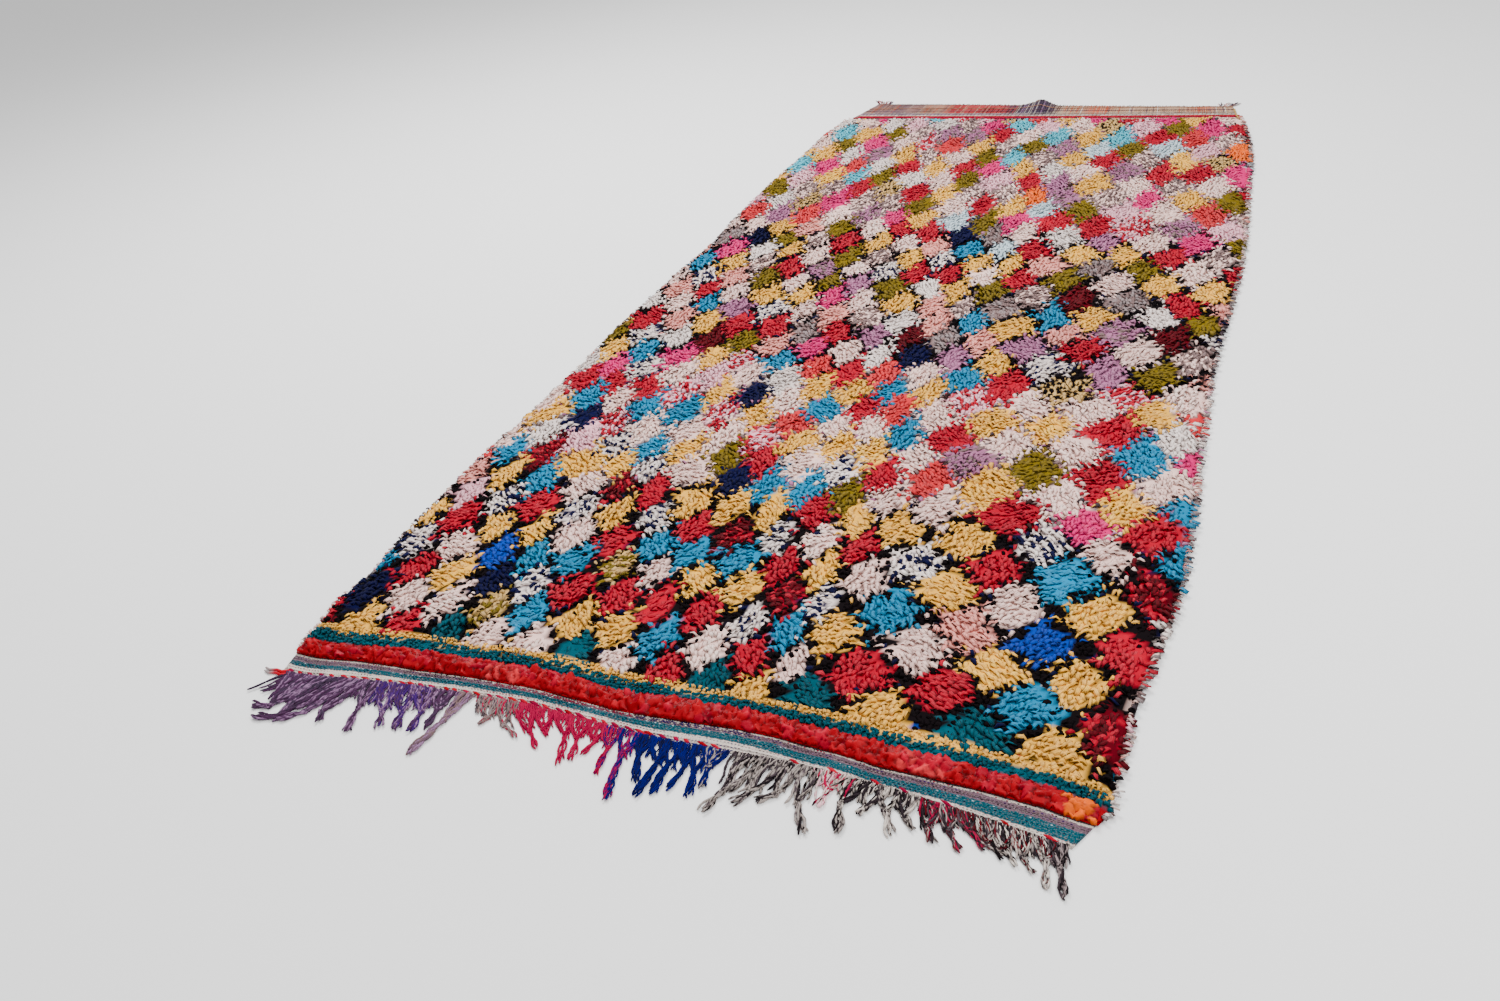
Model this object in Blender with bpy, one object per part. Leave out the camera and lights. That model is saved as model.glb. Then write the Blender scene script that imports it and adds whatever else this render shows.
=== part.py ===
"""A boucherouite rug lying flat on a floor.

The rug is one woven ground cloth from hem to hem, a shag of knotted rag strips on it, five runs of
knotted yarn fringe along the near hem and two small sprigs of warp ends at the far corners.
X runs across the rug, Y from the fringed end to the far end and Z up. The origin is under the
middle of the whole rug, on the floor. All lengths are in metres.
"""
import math
import random

import bmesh
import bpy
from mathutils import Vector

# Degrees past which an edge is shaded as a crease
SHARP_ANGLE = 40

# Ground cloth
CLOTH_THICKNESS = 0.003
HEM_STEP = 0.03
FOLD_START = 2.92
FOLD_ROWS = 5
FOLD_CENTRE = -0.027
FOLD_HALF_WIDTH = 0.05
FOLD_HEIGHT = 0.024
FOLD_COLUMN = 0.0125
PLAIN_COLUMN = 0.1

# Rag pile
SEAT_GAP = 0.0003
PILE_HEIGHT = 0.019
PILE_LUMP = 0.0045
PILE_WAVE = 0.002
PILE_CELL = 0.046
PILE_END = 2.855
FLAT_END_WIDTH = 0.046
SHOULDER = 0.014
SHOULDER_HEIGHT = 0.011
RIM_LUMP = 0.002
RIM_OVERHANG = 0.004
LOCK_WIDTH_SHARE = 0.36
LOCK_SHARE = 0.8
LOCK_REACH = (0.009, 0.019)
LOCK_TIP_HEIGHT = 0.0035
LOCK_TIP_SHARE = 0.45
LOCK_LEAN = 0.008

# Fringe
STRIP_WIDTH = 0.006
STRIP_HEIGHT = 0.0034
STRIP_END_GAP = 0.0005
CORD_WIDTH = 0.0065
CORD_HEIGHT = 0.0036
CORD_CLEAR = 0.0002
CORD_TOP_SHARE = 0.55
TAIL_TIP_SHARE = 0.45
KNOT_RADIUS = 0.0065
KNOT_HEIGHT = 0.0052
KNOT_SIDES = 8
SPRIG_STRIP_LENGTH = 0.034
SPRIG_STRANDS = 5
SPRIG_FAN = 0.022

# Near hem: across, along
NEAR_HEM = (
    (-0.640, -0.004),
    (-0.600, -0.005),
    (-0.500, 0.012),
    (-0.400, 0.024),
    (-0.300, 0.032),
    (-0.200, 0.038),
    (-0.100, 0.033),
    (0.000, 0.027),
    (0.100, 0.030),
    (0.200, 0.034),
    (0.300, 0.033),
    (0.400, 0.025),
    (0.500, 0.013),
    (0.600, -0.002),
    (0.620, -0.002),
)

# Far hem: across, along
FAR_HEM = (
    (-0.582, 3.018),
    (-0.300, 3.025),
    (0.000, 3.022),
    (0.300, 3.024),
    (0.555, 3.028),
)

# Near edge of the pile: across, distance from the near hem
NEAR_PILE_EDGE = (
    (-0.64, 0.044),
    (-0.53, 0.044),
    (-0.42, 0.037),
    (-0.33, 0.037),
    (-0.18, 0.033),
    (-0.07, 0.032),
    (0.02, 0.040),
    (0.13, 0.045),
    (0.25, 0.039),
    (0.35, 0.032),
    (0.48, 0.044),
    (0.575, 0.051),
    (0.64, 0.044),
)

# Far edge of the pile: across, along
FAR_PILE_EDGE = (
    (-0.65, 2.826),
    (0.00, 2.853),
    (0.60, 2.890),
)

# Side edges of the cloth: along, left, right
SIDES = (
    (0.07, -0.652, 0.655),
    (0.13, -0.656, 0.653),
    (0.17, -0.667, 0.655),
    (0.26, -0.652, 0.652),
    (0.35, -0.668, 0.664),
    (0.45, -0.671, 0.675),
    (0.56, -0.675, 0.685),
    (0.68, -0.676, 0.681),
    (0.80, -0.669, 0.679),
    (0.93, -0.668, 0.670),
    (1.07, -0.665, 0.667),
    (1.23, -0.672, 0.660),
    (1.40, -0.668, 0.661),
    (1.58, -0.664, 0.667),
    (1.78, -0.653, 0.671),
    (2.00, -0.662, 0.666),
    (2.24, -0.665, 0.652),
    (2.50, -0.653, 0.641),
    (2.70, -0.650, 0.622),
    (2.88, -0.622, 0.590),
    (2.93, -0.602, 0.572),
    (3.02, -0.582, 0.555),
)

# Fringe knots: middle of the two roots, root spread, knot across, knot along, tip across, tip along
PLUM_KNOTS = (
    (-0.578, 0.036, -0.605, -0.080, -0.640, -0.086),
    (-0.545, 0.034, -0.575, -0.095, -0.618, -0.108),
    (-0.513, 0.024, -0.537, -0.072, -0.577, -0.107),
    (-0.494, 0.020, -0.512, -0.066, -0.500, -0.092),
    (-0.475, 0.018, -0.459, -0.039, -0.441, -0.097),
    (-0.450, 0.030, -0.416, -0.038, -0.398, -0.077),
    (-0.420, 0.034, -0.384, -0.031, -0.370, -0.074),
    (-0.386, 0.034, -0.354, -0.021, -0.346, -0.072),
    (-0.350, 0.034, -0.332, -0.011, -0.329, -0.058),
    (-0.308, 0.012, -0.309, -0.027, -0.322, -0.112),
)
RASPBERRY_KNOTS = (
    (-0.264, 0.032, -0.246, -0.006, -0.252, -0.022),
    (-0.240, 0.022, -0.212, -0.012, -0.178, -0.034),
    (-0.214, 0.034, -0.167, -0.012, -0.137, -0.044),
    (-0.172, 0.034, -0.149, -0.003, -0.134, -0.018),
    (-0.140, 0.030, -0.112, -0.001, -0.089, -0.066),
    (-0.108, 0.032, -0.091, -0.005, -0.078, -0.056),
    (-0.078, 0.024, -0.061, -0.001, -0.069, -0.038),
    (-0.052, 0.028, -0.036, -0.010, -0.030, -0.074),
)
BLUE_KNOTS = (
    (-0.018, 0.030, -0.010, -0.014, 0.008, -0.106),
    (0.006, 0.022, 0.013, -0.009, 0.036, -0.064),
    (0.030, 0.026, 0.046, -0.015, 0.043, -0.090),
    (0.052, 0.022, 0.063, -0.014, 0.064, -0.078),
    (0.072, 0.022, 0.087, -0.011, 0.079, -0.066),
    (0.094, 0.022, 0.104, -0.018, 0.114, -0.069),
    (0.120, 0.030, 0.121, -0.002, 0.127, -0.050),
)
GREY_KNOTS = (
    (0.178, 0.022, 0.158, -0.041, 0.141, -0.092),
    (0.209, 0.032, 0.194, -0.031, 0.176, -0.062),
    (0.234, 0.022, 0.229, -0.025, 0.206, -0.048),
    (0.258, 0.022, 0.263, -0.029, 0.294, -0.085),
    (0.296, 0.030, 0.295, 0.006, 0.290, -0.035),
    (0.332, 0.026, 0.319, -0.014, 0.331, -0.072),
    (0.354, 0.018, 0.352, -0.014, 0.346, -0.030),
    (0.374, 0.026, 0.379, -0.011, 0.398, -0.057),
    (0.398, 0.024, 0.406, -0.011, 0.424, -0.034),
)
CHARCOAL_KNOTS = (
    (0.430, 0.024, 0.438, -0.020, 0.455, -0.052),
    (0.455, 0.022, 0.466, -0.018, 0.492, -0.054),
    (0.478, 0.026, 0.492, -0.012, 0.524, -0.040),
    (0.504, 0.026, 0.519, -0.024, 0.546, -0.047),
    (0.530, 0.024, 0.540, -0.026, 0.562, -0.056),
    (0.554, 0.024, 0.566, -0.034, 0.584, -0.060),
    (0.582, 0.026, 0.595, -0.029, 0.601, -0.082),
    (0.603, 0.016, 0.611, -0.035, 0.626, -0.088),
)

# Fringe runs: node, left end, right end, knots, colour
FRINGES = (
    ("fringe_plum", -0.630, -0.2905, PLUM_KNOTS, (0.12, 0.04, 0.11)),
    ("fringe_raspberry", -0.290, -0.0365, RASPBERRY_KNOTS, (0.45, 0.02, 0.09)),
    ("fringe_blue", -0.036, 0.1395, BLUE_KNOTS, (0.01, 0.02, 0.20)),
    ("fringe_grey", 0.140, 0.4135, GREY_KNOTS, (0.32, 0.28, 0.28)),
    ("fringe_charcoal", 0.414, 0.615, CHARCOAL_KNOTS, (0.09, 0.07, 0.08)),
)

# Sprigs at the far corners: node, middle of the strip, lean across, length
SPRIGS = (
    ("sprig_left", -0.560, -0.012, 0.055),
    ("sprig_right", 0.530, 0.012, 0.045),
)

dice = random.Random(12)


def along(table, key, column):
    """Value of one column of a table between its rows, straight from row to row."""
    rows = [(row[0], row[column]) for row in table]
    if key <= rows[0][0]:
        return rows[0][1]
    for (low, first), (high, second) in zip(rows, rows[1:]):
        if key <= high:
            return first + (second - first) * (key - low) / (high - low)
    return rows[-1][1]


def hem_stations():
    """Places across the near hem at which the cloth and the fringe strips turn together."""
    first = NEAR_HEM[0][0]
    last = NEAR_HEM[-1][0]
    count = round((last - first) / HEM_STEP)
    return [first + (last - first) * index / count for index in range(count + 1)]


def hem_along(across):
    """Near hem as the cloth really runs, straight from station to station."""
    stations = hem_stations()
    rows = [(place, along(NEAR_HEM, place, 1)) for place in stations]
    return along(rows, across, 1)


def fabric(name, colour, roughness):
    """Plain material of one piece."""
    material = bpy.data.materials.new(name)
    material.use_nodes = True
    shader = material.node_tree.nodes["Principled BSDF"]
    shader.inputs["Base Color"].default_value = (*colour, 1.0)
    shader.inputs["Roughness"].default_value = roughness
    shader.inputs["Metallic"].default_value = 0.0
    return material


def finish(name, shape, material):
    """Turn a bmesh into the object of one node."""
    bmesh.ops.recalc_face_normals(shape, faces=shape.faces[:])
    mesh = bpy.data.meshes.new(name)
    shape.to_mesh(mesh)
    shape.free()
    mesh.shade_smooth()
    mesh.set_sharp_from_angle(angle=math.radians(SHARP_ANGLE))
    mesh.materials.append(material)
    piece = bpy.data.objects.new(name, mesh)
    bpy.context.scene.collection.objects.link(piece)
    return piece


def fold_lift(across, share):
    """Height of the buckle in the far hem; share runs from 0 at its start to 1 at the hem."""
    reach = min(1.0, abs(across - FOLD_CENTRE) / FOLD_HALF_WIDTH)
    return FOLD_HEIGHT * 0.5 * (1.0 + math.cos(math.pi * reach)) * share ** 1.4


def fold_columns():
    """Shares of the width at which the far end is divided, close together at the buckle."""
    left = along(SIDES, FOLD_START, 1)
    right = along(SIDES, FOLD_START, 2)
    low = FOLD_CENTRE - FOLD_HALF_WIDTH
    high = FOLD_CENTRE + FOLD_HALF_WIDTH
    stretches = ((left, low, PLAIN_COLUMN), (low, high, FOLD_COLUMN), (high, right, PLAIN_COLUMN))
    places = [left]
    for start, end, step in stretches:
        count = math.ceil((end - start) / step)
        places += [start + (end - start) * index / count for index in range(1, count + 1)]
    return [(place - left) / (right - left) for place in places]


def make_cloth():
    """One woven sheet: a flat field and a gridded far end that holds the buckle."""
    shape = bmesh.new()
    shares = fold_columns()
    rows = []
    for row in range(FOLD_ROWS + 1):
        share = row / FOLD_ROWS
        line = []
        for column in shares:
            left = along(SIDES, FOLD_START, 1)
            right = along(SIDES, FOLD_START, 2)
            far_left = FAR_HEM[0][0]
            far_right = FAR_HEM[-1][0]
            start = left + (right - left) * column
            end = far_left + (far_right - far_left) * column
            across = start + (end - start) * share
            hem = along(FAR_HEM, end, 1)
            place = FOLD_START + (hem - FOLD_START) * share
            line.append(Vector((across, place, fold_lift(across, share))))
        rows.append(line)
    field = [Vector((place, hem_along(place), 0.0)) for place in hem_stations()]
    side_rows = [row for row in SIDES if row[0] < FOLD_START]
    field += [Vector((row[2], row[0], 0.0)) for row in side_rows]
    start_of_fold = len(field)
    field += list(reversed(rows[0]))
    field += [Vector((row[1], row[0], 0.0)) for row in reversed(side_rows)]

    levels = []
    for height in (0.0, CLOTH_THICKNESS):
        lift = Vector((0.0, 0.0, height))
        flat = [shape.verts.new(point + lift) for point in field]
        fold = [list(reversed(flat[start_of_fold:start_of_fold + len(shares)]))]
        for line in rows[1:]:
            fold.append([shape.verts.new(point + lift) for point in line])
        shape.faces.new(flat)
        for near, far in zip(fold, fold[1:]):
            for index in range(len(shares) - 1):
                shape.faces.new((near[index], near[index + 1], far[index + 1], far[index]))
        rim = flat[:start_of_fold] + [line[-1] for line in fold]
        rim += list(reversed(fold[-1][:-1]))
        rim += [line[0] for line in reversed(fold[:-1])]
        rim += flat[start_of_fold + len(shares):]
        levels.append(rim)
    low, high = levels
    for index in range(len(low)):
        after = (index + 1) % len(low)
        shape.faces.new((low[index], low[after], high[after], high[index]))
    return finish("ground_cloth", shape, fabric("woven_ground", (0.42, 0.33, 0.29), 0.9))


def pile_place(share_across, share_along, inset):
    """Point of the pile's outline grid, drawn in by an inset from its rim."""
    middle = FLAT_END_WIDTH + (PILE_END - FLAT_END_WIDTH) * share_along
    left = along(SIDES, middle, 1) + inset
    right = along(SIDES, middle, 2) - inset
    across = left + (right - left) * share_across
    near = hem_along(across) + along(NEAR_PILE_EDGE, across, 1) + inset
    far = along(FAR_PILE_EDGE, across, 1) - inset
    return Vector((across, near + (far - near) * share_along, 0.0))


def pile_top(point):
    """Lumpy height of the rags over the cloth."""
    slow = math.sin(9.0 * point.x + 1.3) * math.sin(5.0 * point.y + 0.4)
    return PILE_HEIGHT + PILE_WAVE * slow + dice.uniform(-PILE_LUMP, PILE_LUMP)


def make_pile():
    """Lumpy slab of rags with a rounded shoulder and locks hanging over its rim."""
    shape = bmesh.new()
    seat = CLOTH_THICKNESS + SEAT_GAP
    widest = max(right - left for _, left, right in SIDES)
    columns = round(widest / PILE_CELL)
    rows = round((PILE_END - FLAT_END_WIDTH) / PILE_CELL)
    grid = []
    for row in range(rows + 1):
        line = []
        for column in range(columns + 1):
            point = pile_place(column / columns, row / rows, SHOULDER)
            point.z = seat + pile_top(point)
            line.append(shape.verts.new(point))
        grid.append(line)
    for near, far in zip(grid, grid[1:]):
        for index in range(columns):
            shape.faces.new((near[index], near[index + 1], far[index + 1], far[index]))

    border = [(column, 0) for column in range(columns)]
    border += [(columns, row) for row in range(rows)]
    border += [(column, rows) for column in range(columns, 0, -1)]
    border += [(0, row) for row in range(rows, 0, -1)]
    rim = [pile_place(column / columns, row / rows, -RIM_OVERHANG) for column, row in border]
    start_share = 0.5 - LOCK_WIDTH_SHARE / 2
    end_share = 0.5 + LOCK_WIDTH_SHARE / 2
    upper = []
    lower = []
    for index, point in enumerate(rim):
        after = rim[(index + 1) % len(rim)]
        for share in (0.0, start_share, end_share):
            place = point.lerp(after, share)
            lower.append(shape.verts.new((place.x, place.y, seat)))
            height = seat + SHOULDER_HEIGHT + dice.uniform(-RIM_LUMP, RIM_LUMP)
            upper.append(shape.verts.new((place.x, place.y, height)))
    count = len(upper)
    locks = []
    for index, (column, row) in enumerate(border):
        next_column, next_row = border[(index + 1) % len(border)]
        first = 3 * index
        after = (first + 3) % count
        top_ring = (upper[first], upper[first + 1], upper[first + 2], upper[after])
        shape.faces.new((*top_ring, grid[next_row][next_column], grid[row][column]))
        for step in range(3):
            one = first + step
            two = (one + 1) % count
            face = shape.faces.new((lower[one], lower[two], upper[two], upper[one]))
            if step == 1:
                locks.append(face)
    shape.faces.new(list(reversed(lower)))

    for face in locks:
        if dice.random() > LOCK_SHARE:
            continue
        ring = list(face.verts)
        middle = sum((vert.co for vert in ring), Vector()) / 4
        side = (ring[1].co - ring[0].co).normalized()
        outward = Vector((side.y, -side.x, 0.0))
        lean = side * dice.uniform(-LOCK_LEAN, LOCK_LEAN)
        reach = dice.uniform(*LOCK_REACH)
        at_far_end = middle.y > along(FAR_PILE_EDGE, middle.x, 1)
        near_edge = hem_along(middle.x) + along(NEAR_PILE_EDGE, middle.x, 1)
        at_end = at_far_end or middle.y < near_edge + RIM_OVERHANG
        floor = seat if at_end else 0.0
        made = bmesh.ops.extrude_discrete_faces(shape, faces=[face])
        tip = made["faces"][0]
        tip_middle = middle + outward * reach + lean
        for vert in tip.verts:
            high = vert.co.z > seat + 0.001
            share = (vert.co - middle).dot(side) * LOCK_TIP_SHARE
            vert.co = tip_middle + side * share
            vert.co.z = floor + (LOCK_TIP_HEIGHT if high else 0.0)
    return finish("rag_pile", shape, fabric("knotted_rags", (0.55, 0.10, 0.11), 0.85))


def add_bar(shape, start, end, start_width, end_width, height, base):
    """Closed four-sided bar between two points on the floor, narrower on top."""
    direction = (end - start).normalized()
    side = Vector((direction.y, -direction.x, 0.0))
    rings = []
    for point, width in ((start, start_width), (end, end_width)):
        half = width / 2
        top = half * CORD_TOP_SHARE
        corners = ((-half, base), (half, base), (top, base + height), (-top, base + height))
        ring = []
        for offset, level in corners:
            place = point + side * offset
            ring.append(shape.verts.new((place.x, place.y, level)))
        rings.append(ring)
    first, second = rings
    shape.faces.new(first)
    shape.faces.new(list(reversed(second)))
    for index in range(4):
        after = (index + 1) % 4
        shape.faces.new((first[index], second[index], second[after], first[after]))


def add_knot(shape, centre):
    """Low round knot with a smaller flat top."""
    rings = []
    for share, level in ((1.0, 0.0), (1.0, 0.45), (0.5, 1.0)):
        ring = []
        for index in range(KNOT_SIDES):
            angle = 2 * math.pi * index / KNOT_SIDES
            radius = KNOT_RADIUS * share
            across = centre.x + radius * math.cos(angle)
            place = centre.y + radius * math.sin(angle)
            ring.append(shape.verts.new((across, place, KNOT_HEIGHT * level)))
        rings.append(ring)
    shape.faces.new(list(reversed(rings[0])))
    shape.faces.new(rings[-1])
    for low, high in zip(rings, rings[1:]):
        for index in range(KNOT_SIDES):
            after = (index + 1) % KNOT_SIDES
            shape.faces.new((low[index], low[after], high[after], high[index]))


def strip_along(name, edge, outward):
    """Narrow backing strip beside a hem, used as the body that the strands grow from."""
    shape = bmesh.new()
    levels = []
    for height in (0.0, STRIP_HEIGHT):
        inner = [shape.verts.new((point.x, point.y, height)) for point in edge]
        outer = []
        for point in edge:
            outer.append(shape.verts.new((point.x, point.y + outward * STRIP_WIDTH, height)))
        levels.append((inner, outer))
    for inner, outer in levels:
        for index in range(len(edge) - 1):
            shape.faces.new((inner[index], inner[index + 1], outer[index + 1], outer[index]))
    (low_inner, low_outer), (high_inner, high_outer) = levels
    for low, high in ((low_inner, high_inner), (low_outer, high_outer)):
        for index in range(len(edge) - 1):
            shape.faces.new((low[index], low[index + 1], high[index + 1], high[index]))
    for index in (0, -1):
        ring = (low_inner[index], low_outer[index], high_outer[index], high_inner[index])
        shape.faces.new(ring)
    guide = finish(name, shape, fabric(name, (0.5, 0.5, 0.5), 0.9))
    guide.hide_render = True
    guide.display_type = "WIRE"
    return guide


def join_to_strip(piece, strip):
    """Fuse the strands, the knots and the strip into one body."""
    join = piece.modifiers.new("fused_roots", "BOOLEAN")
    join.operation = "UNION"
    join.solver = "EXACT"
    join.use_self = True
    join.object = strip


def make_fringe(name, left, right, knots, colour):
    """One run of fringe: each knot takes two strands from the strip and lets one tail go."""
    places = [place for place in hem_stations() if left + 0.001 < place < right - 0.001]
    places = [left] + places + [right - STRIP_END_GAP]
    edge = [Vector((place, hem_along(place) - SEAT_GAP, 0.0)) for place in places]
    strip = strip_along(name + "_strip", edge, -1)
    shape = bmesh.new()
    inner = left + CORD_WIDTH
    outer = right - STRIP_END_GAP - CORD_WIDTH
    for middle, spread, knot_across, knot_along, tip_across, tip_along in knots:
        knot = Vector((knot_across, knot_along, 0.0))
        tip = Vector((tip_across, tip_along, 0.0))
        for side in (-0.5, 0.5):
            across = min(max(middle + side * spread, inner), outer)
            root = Vector((across, hem_along(across) - SEAT_GAP - STRIP_WIDTH * 0.6, 0.0))
            add_bar(shape, root, knot, CORD_WIDTH * 0.9, CORD_WIDTH, CORD_HEIGHT, CORD_CLEAR)
        add_knot(shape, knot)
        tip_width = CORD_WIDTH * TAIL_TIP_SHARE
        add_bar(shape, knot, tip, CORD_WIDTH * 1.25, tip_width, CORD_HEIGHT, CORD_CLEAR * 2)
    piece = finish(name, shape, fabric(name + "_yarn", colour, 0.95))
    join_to_strip(piece, strip)
    return piece


def make_sprig(name, middle, lean, length):
    """Short warp ends that fan out from the far hem at a corner."""
    ends = (middle - SPRIG_STRIP_LENGTH / 2, middle + SPRIG_STRIP_LENGTH / 2)
    edge = [Vector((place, along(FAR_HEM, place, 1) + SEAT_GAP, 0.0)) for place in ends]
    strip = strip_along(name + "_strip", edge, 1)
    shape = bmesh.new()
    for index in range(SPRIG_STRANDS):
        share = index / (SPRIG_STRANDS - 1) - 0.5
        across = middle + share * (SPRIG_STRIP_LENGTH - CORD_WIDTH)
        start = Vector((across, along(FAR_HEM, across, 1) + SEAT_GAP + STRIP_WIDTH * 0.5, 0.0))
        grown = length * (1.0 - 0.5 * abs(share))
        end = start + Vector((lean + share * SPRIG_FAN * 2, grown, 0.0))
        add_bar(shape, start, end, CORD_WIDTH * 0.7, CORD_WIDTH * 0.3, CORD_HEIGHT * 0.8, CORD_CLEAR)
    piece = finish(name, shape, fabric(name + "_warp", (0.40, 0.30, 0.25), 0.95))
    join_to_strip(piece, strip)
    return piece


def centre_on_floor(pieces):
    """Put the origin under the middle of everything, on the floor."""
    graph = bpy.context.evaluated_depsgraph_get()
    corners = []
    for piece in pieces:
        seen = piece.evaluated_get(graph).to_mesh()
        corners += [vert.co.copy() for vert in seen.vertices]
        piece.evaluated_get(graph).to_mesh_clear()
    across = [corner.x for corner in corners]
    lengthways = [corner.y for corner in corners]
    heights = [corner.z for corner in corners]
    middle_across = (min(across) + max(across)) / 2
    middle_along = (min(lengthways) + max(lengthways)) / 2
    shift = Vector((-middle_across, -middle_along, -min(heights)))
    for thing in bpy.context.scene.objects:
        thing.location = shift


def build_rug():
    """Make every piece of the rug in an empty scene."""
    for thing in list(bpy.data.objects):
        bpy.data.objects.remove(thing, do_unlink=True)
    pieces = [make_cloth(), make_pile()]
    for row in FRINGES:
        pieces.append(make_fringe(*row))
    for row in SPRIGS:
        pieces.append(make_sprig(*row))
    centre_on_floor(pieces)


build_rug()
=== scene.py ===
import math

import bmesh
import bpy
import numpy as np
from mathutils import Matrix, Vector


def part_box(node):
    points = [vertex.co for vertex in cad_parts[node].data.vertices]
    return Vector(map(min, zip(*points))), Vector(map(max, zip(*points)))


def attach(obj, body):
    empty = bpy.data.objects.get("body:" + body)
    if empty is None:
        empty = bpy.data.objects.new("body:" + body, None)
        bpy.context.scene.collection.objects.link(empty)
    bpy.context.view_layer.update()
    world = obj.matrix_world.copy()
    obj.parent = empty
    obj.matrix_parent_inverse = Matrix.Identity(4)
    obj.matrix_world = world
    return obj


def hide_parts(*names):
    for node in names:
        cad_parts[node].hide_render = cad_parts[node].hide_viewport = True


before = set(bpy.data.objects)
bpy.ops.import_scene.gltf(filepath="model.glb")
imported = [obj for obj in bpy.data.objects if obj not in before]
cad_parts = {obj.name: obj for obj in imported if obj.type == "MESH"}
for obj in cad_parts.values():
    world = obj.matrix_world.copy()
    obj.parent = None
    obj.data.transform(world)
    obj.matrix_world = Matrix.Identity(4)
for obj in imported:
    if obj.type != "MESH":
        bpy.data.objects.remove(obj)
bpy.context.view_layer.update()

# A boucherouite rug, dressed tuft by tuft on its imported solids. Lengths are in metres.
# Rug places count across from the middle and along from the near hem, and PLACE moves them
# into the frame.

# Sizes of the rug
WIDTH = 1.35
CLOTH_THICKNESS = 0.003
FLAT_END_WIDTH = 0.046
PILE_END = 2.855
BED_HEIGHT = 0.0125
RIM_DROP = 0.022
HEM_STEP = 0.03
FOLD_START = 2.92
FOLD_CENTRE = -0.027
FOLD_LEFT = 0.085
FOLD_RIGHT = 0.065
FOLD_HEIGHT = 0.020

# Camera, in rug widths and degrees
CAMERA_PLACE = (0.57738, -0.81392, 0.93499)
CAMERA_PITCH = 33.03
CAMERA_YAW = -26.34
CAMERA_ROLL = -7.32
CAMERA_FOCUS_PX = 1257
PHOTO_WIDTH_PX = 1500
SENSOR_WIDTH = 36.0

# Near hem: across, along
NEAR_HEM = (
    (-0.640, -0.004),
    (-0.600, -0.005),
    (-0.500, 0.012),
    (-0.400, 0.024),
    (-0.300, 0.032),
    (-0.200, 0.038),
    (-0.100, 0.033),
    (0.000, 0.027),
    (0.100, 0.030),
    (0.200, 0.034),
    (0.300, 0.033),
    (0.400, 0.025),
    (0.500, 0.013),
    (0.600, -0.002),
    (0.620, -0.002),
)

# Far hem: across, along
FAR_HEM = (
    (-0.582, 3.018),
    (-0.300, 3.025),
    (0.000, 3.022),
    (0.300, 3.024),
    (0.555, 3.028),
)

# Far edge of the pile: across, along
FAR_PILE_EDGE = ((-0.65, 2.826), (0.00, 2.853), (0.60, 2.890))

# Side edges of the cloth: along, left, right
SIDES = (
    (-0.01, -0.640, 0.620),
    (0.07, -0.652, 0.655),
    (0.13, -0.656, 0.653),
    (0.17, -0.667, 0.655),
    (0.26, -0.652, 0.652),
    (0.35, -0.668, 0.664),
    (0.45, -0.671, 0.675),
    (0.56, -0.675, 0.685),
    (0.68, -0.676, 0.681),
    (0.80, -0.669, 0.679),
    (0.93, -0.668, 0.670),
    (1.07, -0.665, 0.667),
    (1.23, -0.672, 0.660),
    (1.40, -0.668, 0.661),
    (1.58, -0.664, 0.667),
    (1.78, -0.653, 0.671),
    (2.00, -0.662, 0.666),
    (2.24, -0.665, 0.652),
    (2.50, -0.653, 0.641),
    (2.70, -0.650, 0.622),
    (2.88, -0.622, 0.590),
    (2.93, -0.602, 0.572),
    (3.02, -0.582, 0.555),
)

# Fringe knots: middle of the two roots, root spread, knot across, knot along, tip across, tip along
PLUM_KNOTS = (
    (-0.578, 0.036, -0.605, -0.080, -0.640, -0.086),
    (-0.545, 0.034, -0.575, -0.095, -0.618, -0.108),
    (-0.513, 0.024, -0.537, -0.072, -0.577, -0.107),
    (-0.494, 0.020, -0.512, -0.066, -0.500, -0.092),
    (-0.475, 0.018, -0.459, -0.039, -0.441, -0.097),
    (-0.450, 0.030, -0.416, -0.038, -0.398, -0.077),
    (-0.420, 0.034, -0.384, -0.031, -0.370, -0.074),
    (-0.386, 0.034, -0.354, -0.021, -0.346, -0.072),
    (-0.350, 0.034, -0.332, -0.011, -0.329, -0.058),
    (-0.308, 0.012, -0.309, -0.027, -0.322, -0.112),
)
RASPBERRY_KNOTS = (
    (-0.264, 0.032, -0.246, -0.006, -0.252, -0.022),
    (-0.240, 0.022, -0.212, -0.012, -0.178, -0.034),
    (-0.214, 0.034, -0.167, -0.012, -0.137, -0.044),
    (-0.172, 0.034, -0.149, -0.003, -0.134, -0.018),
    (-0.140, 0.030, -0.112, -0.001, -0.089, -0.066),
    (-0.108, 0.032, -0.091, -0.005, -0.078, -0.056),
    (-0.078, 0.024, -0.061, -0.001, -0.069, -0.038),
    (-0.052, 0.028, -0.036, -0.010, -0.030, -0.074),
)
BLUE_KNOTS = (
    (-0.018, 0.030, -0.010, -0.014, 0.008, -0.106),
    (0.006, 0.022, 0.013, -0.009, 0.036, -0.064),
    (0.030, 0.026, 0.046, -0.015, 0.043, -0.090),
    (0.052, 0.022, 0.063, -0.014, 0.064, -0.078),
    (0.072, 0.022, 0.087, -0.011, 0.079, -0.066),
    (0.094, 0.022, 0.104, -0.018, 0.114, -0.069),
    (0.120, 0.030, 0.121, -0.002, 0.127, -0.050),
)
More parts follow.
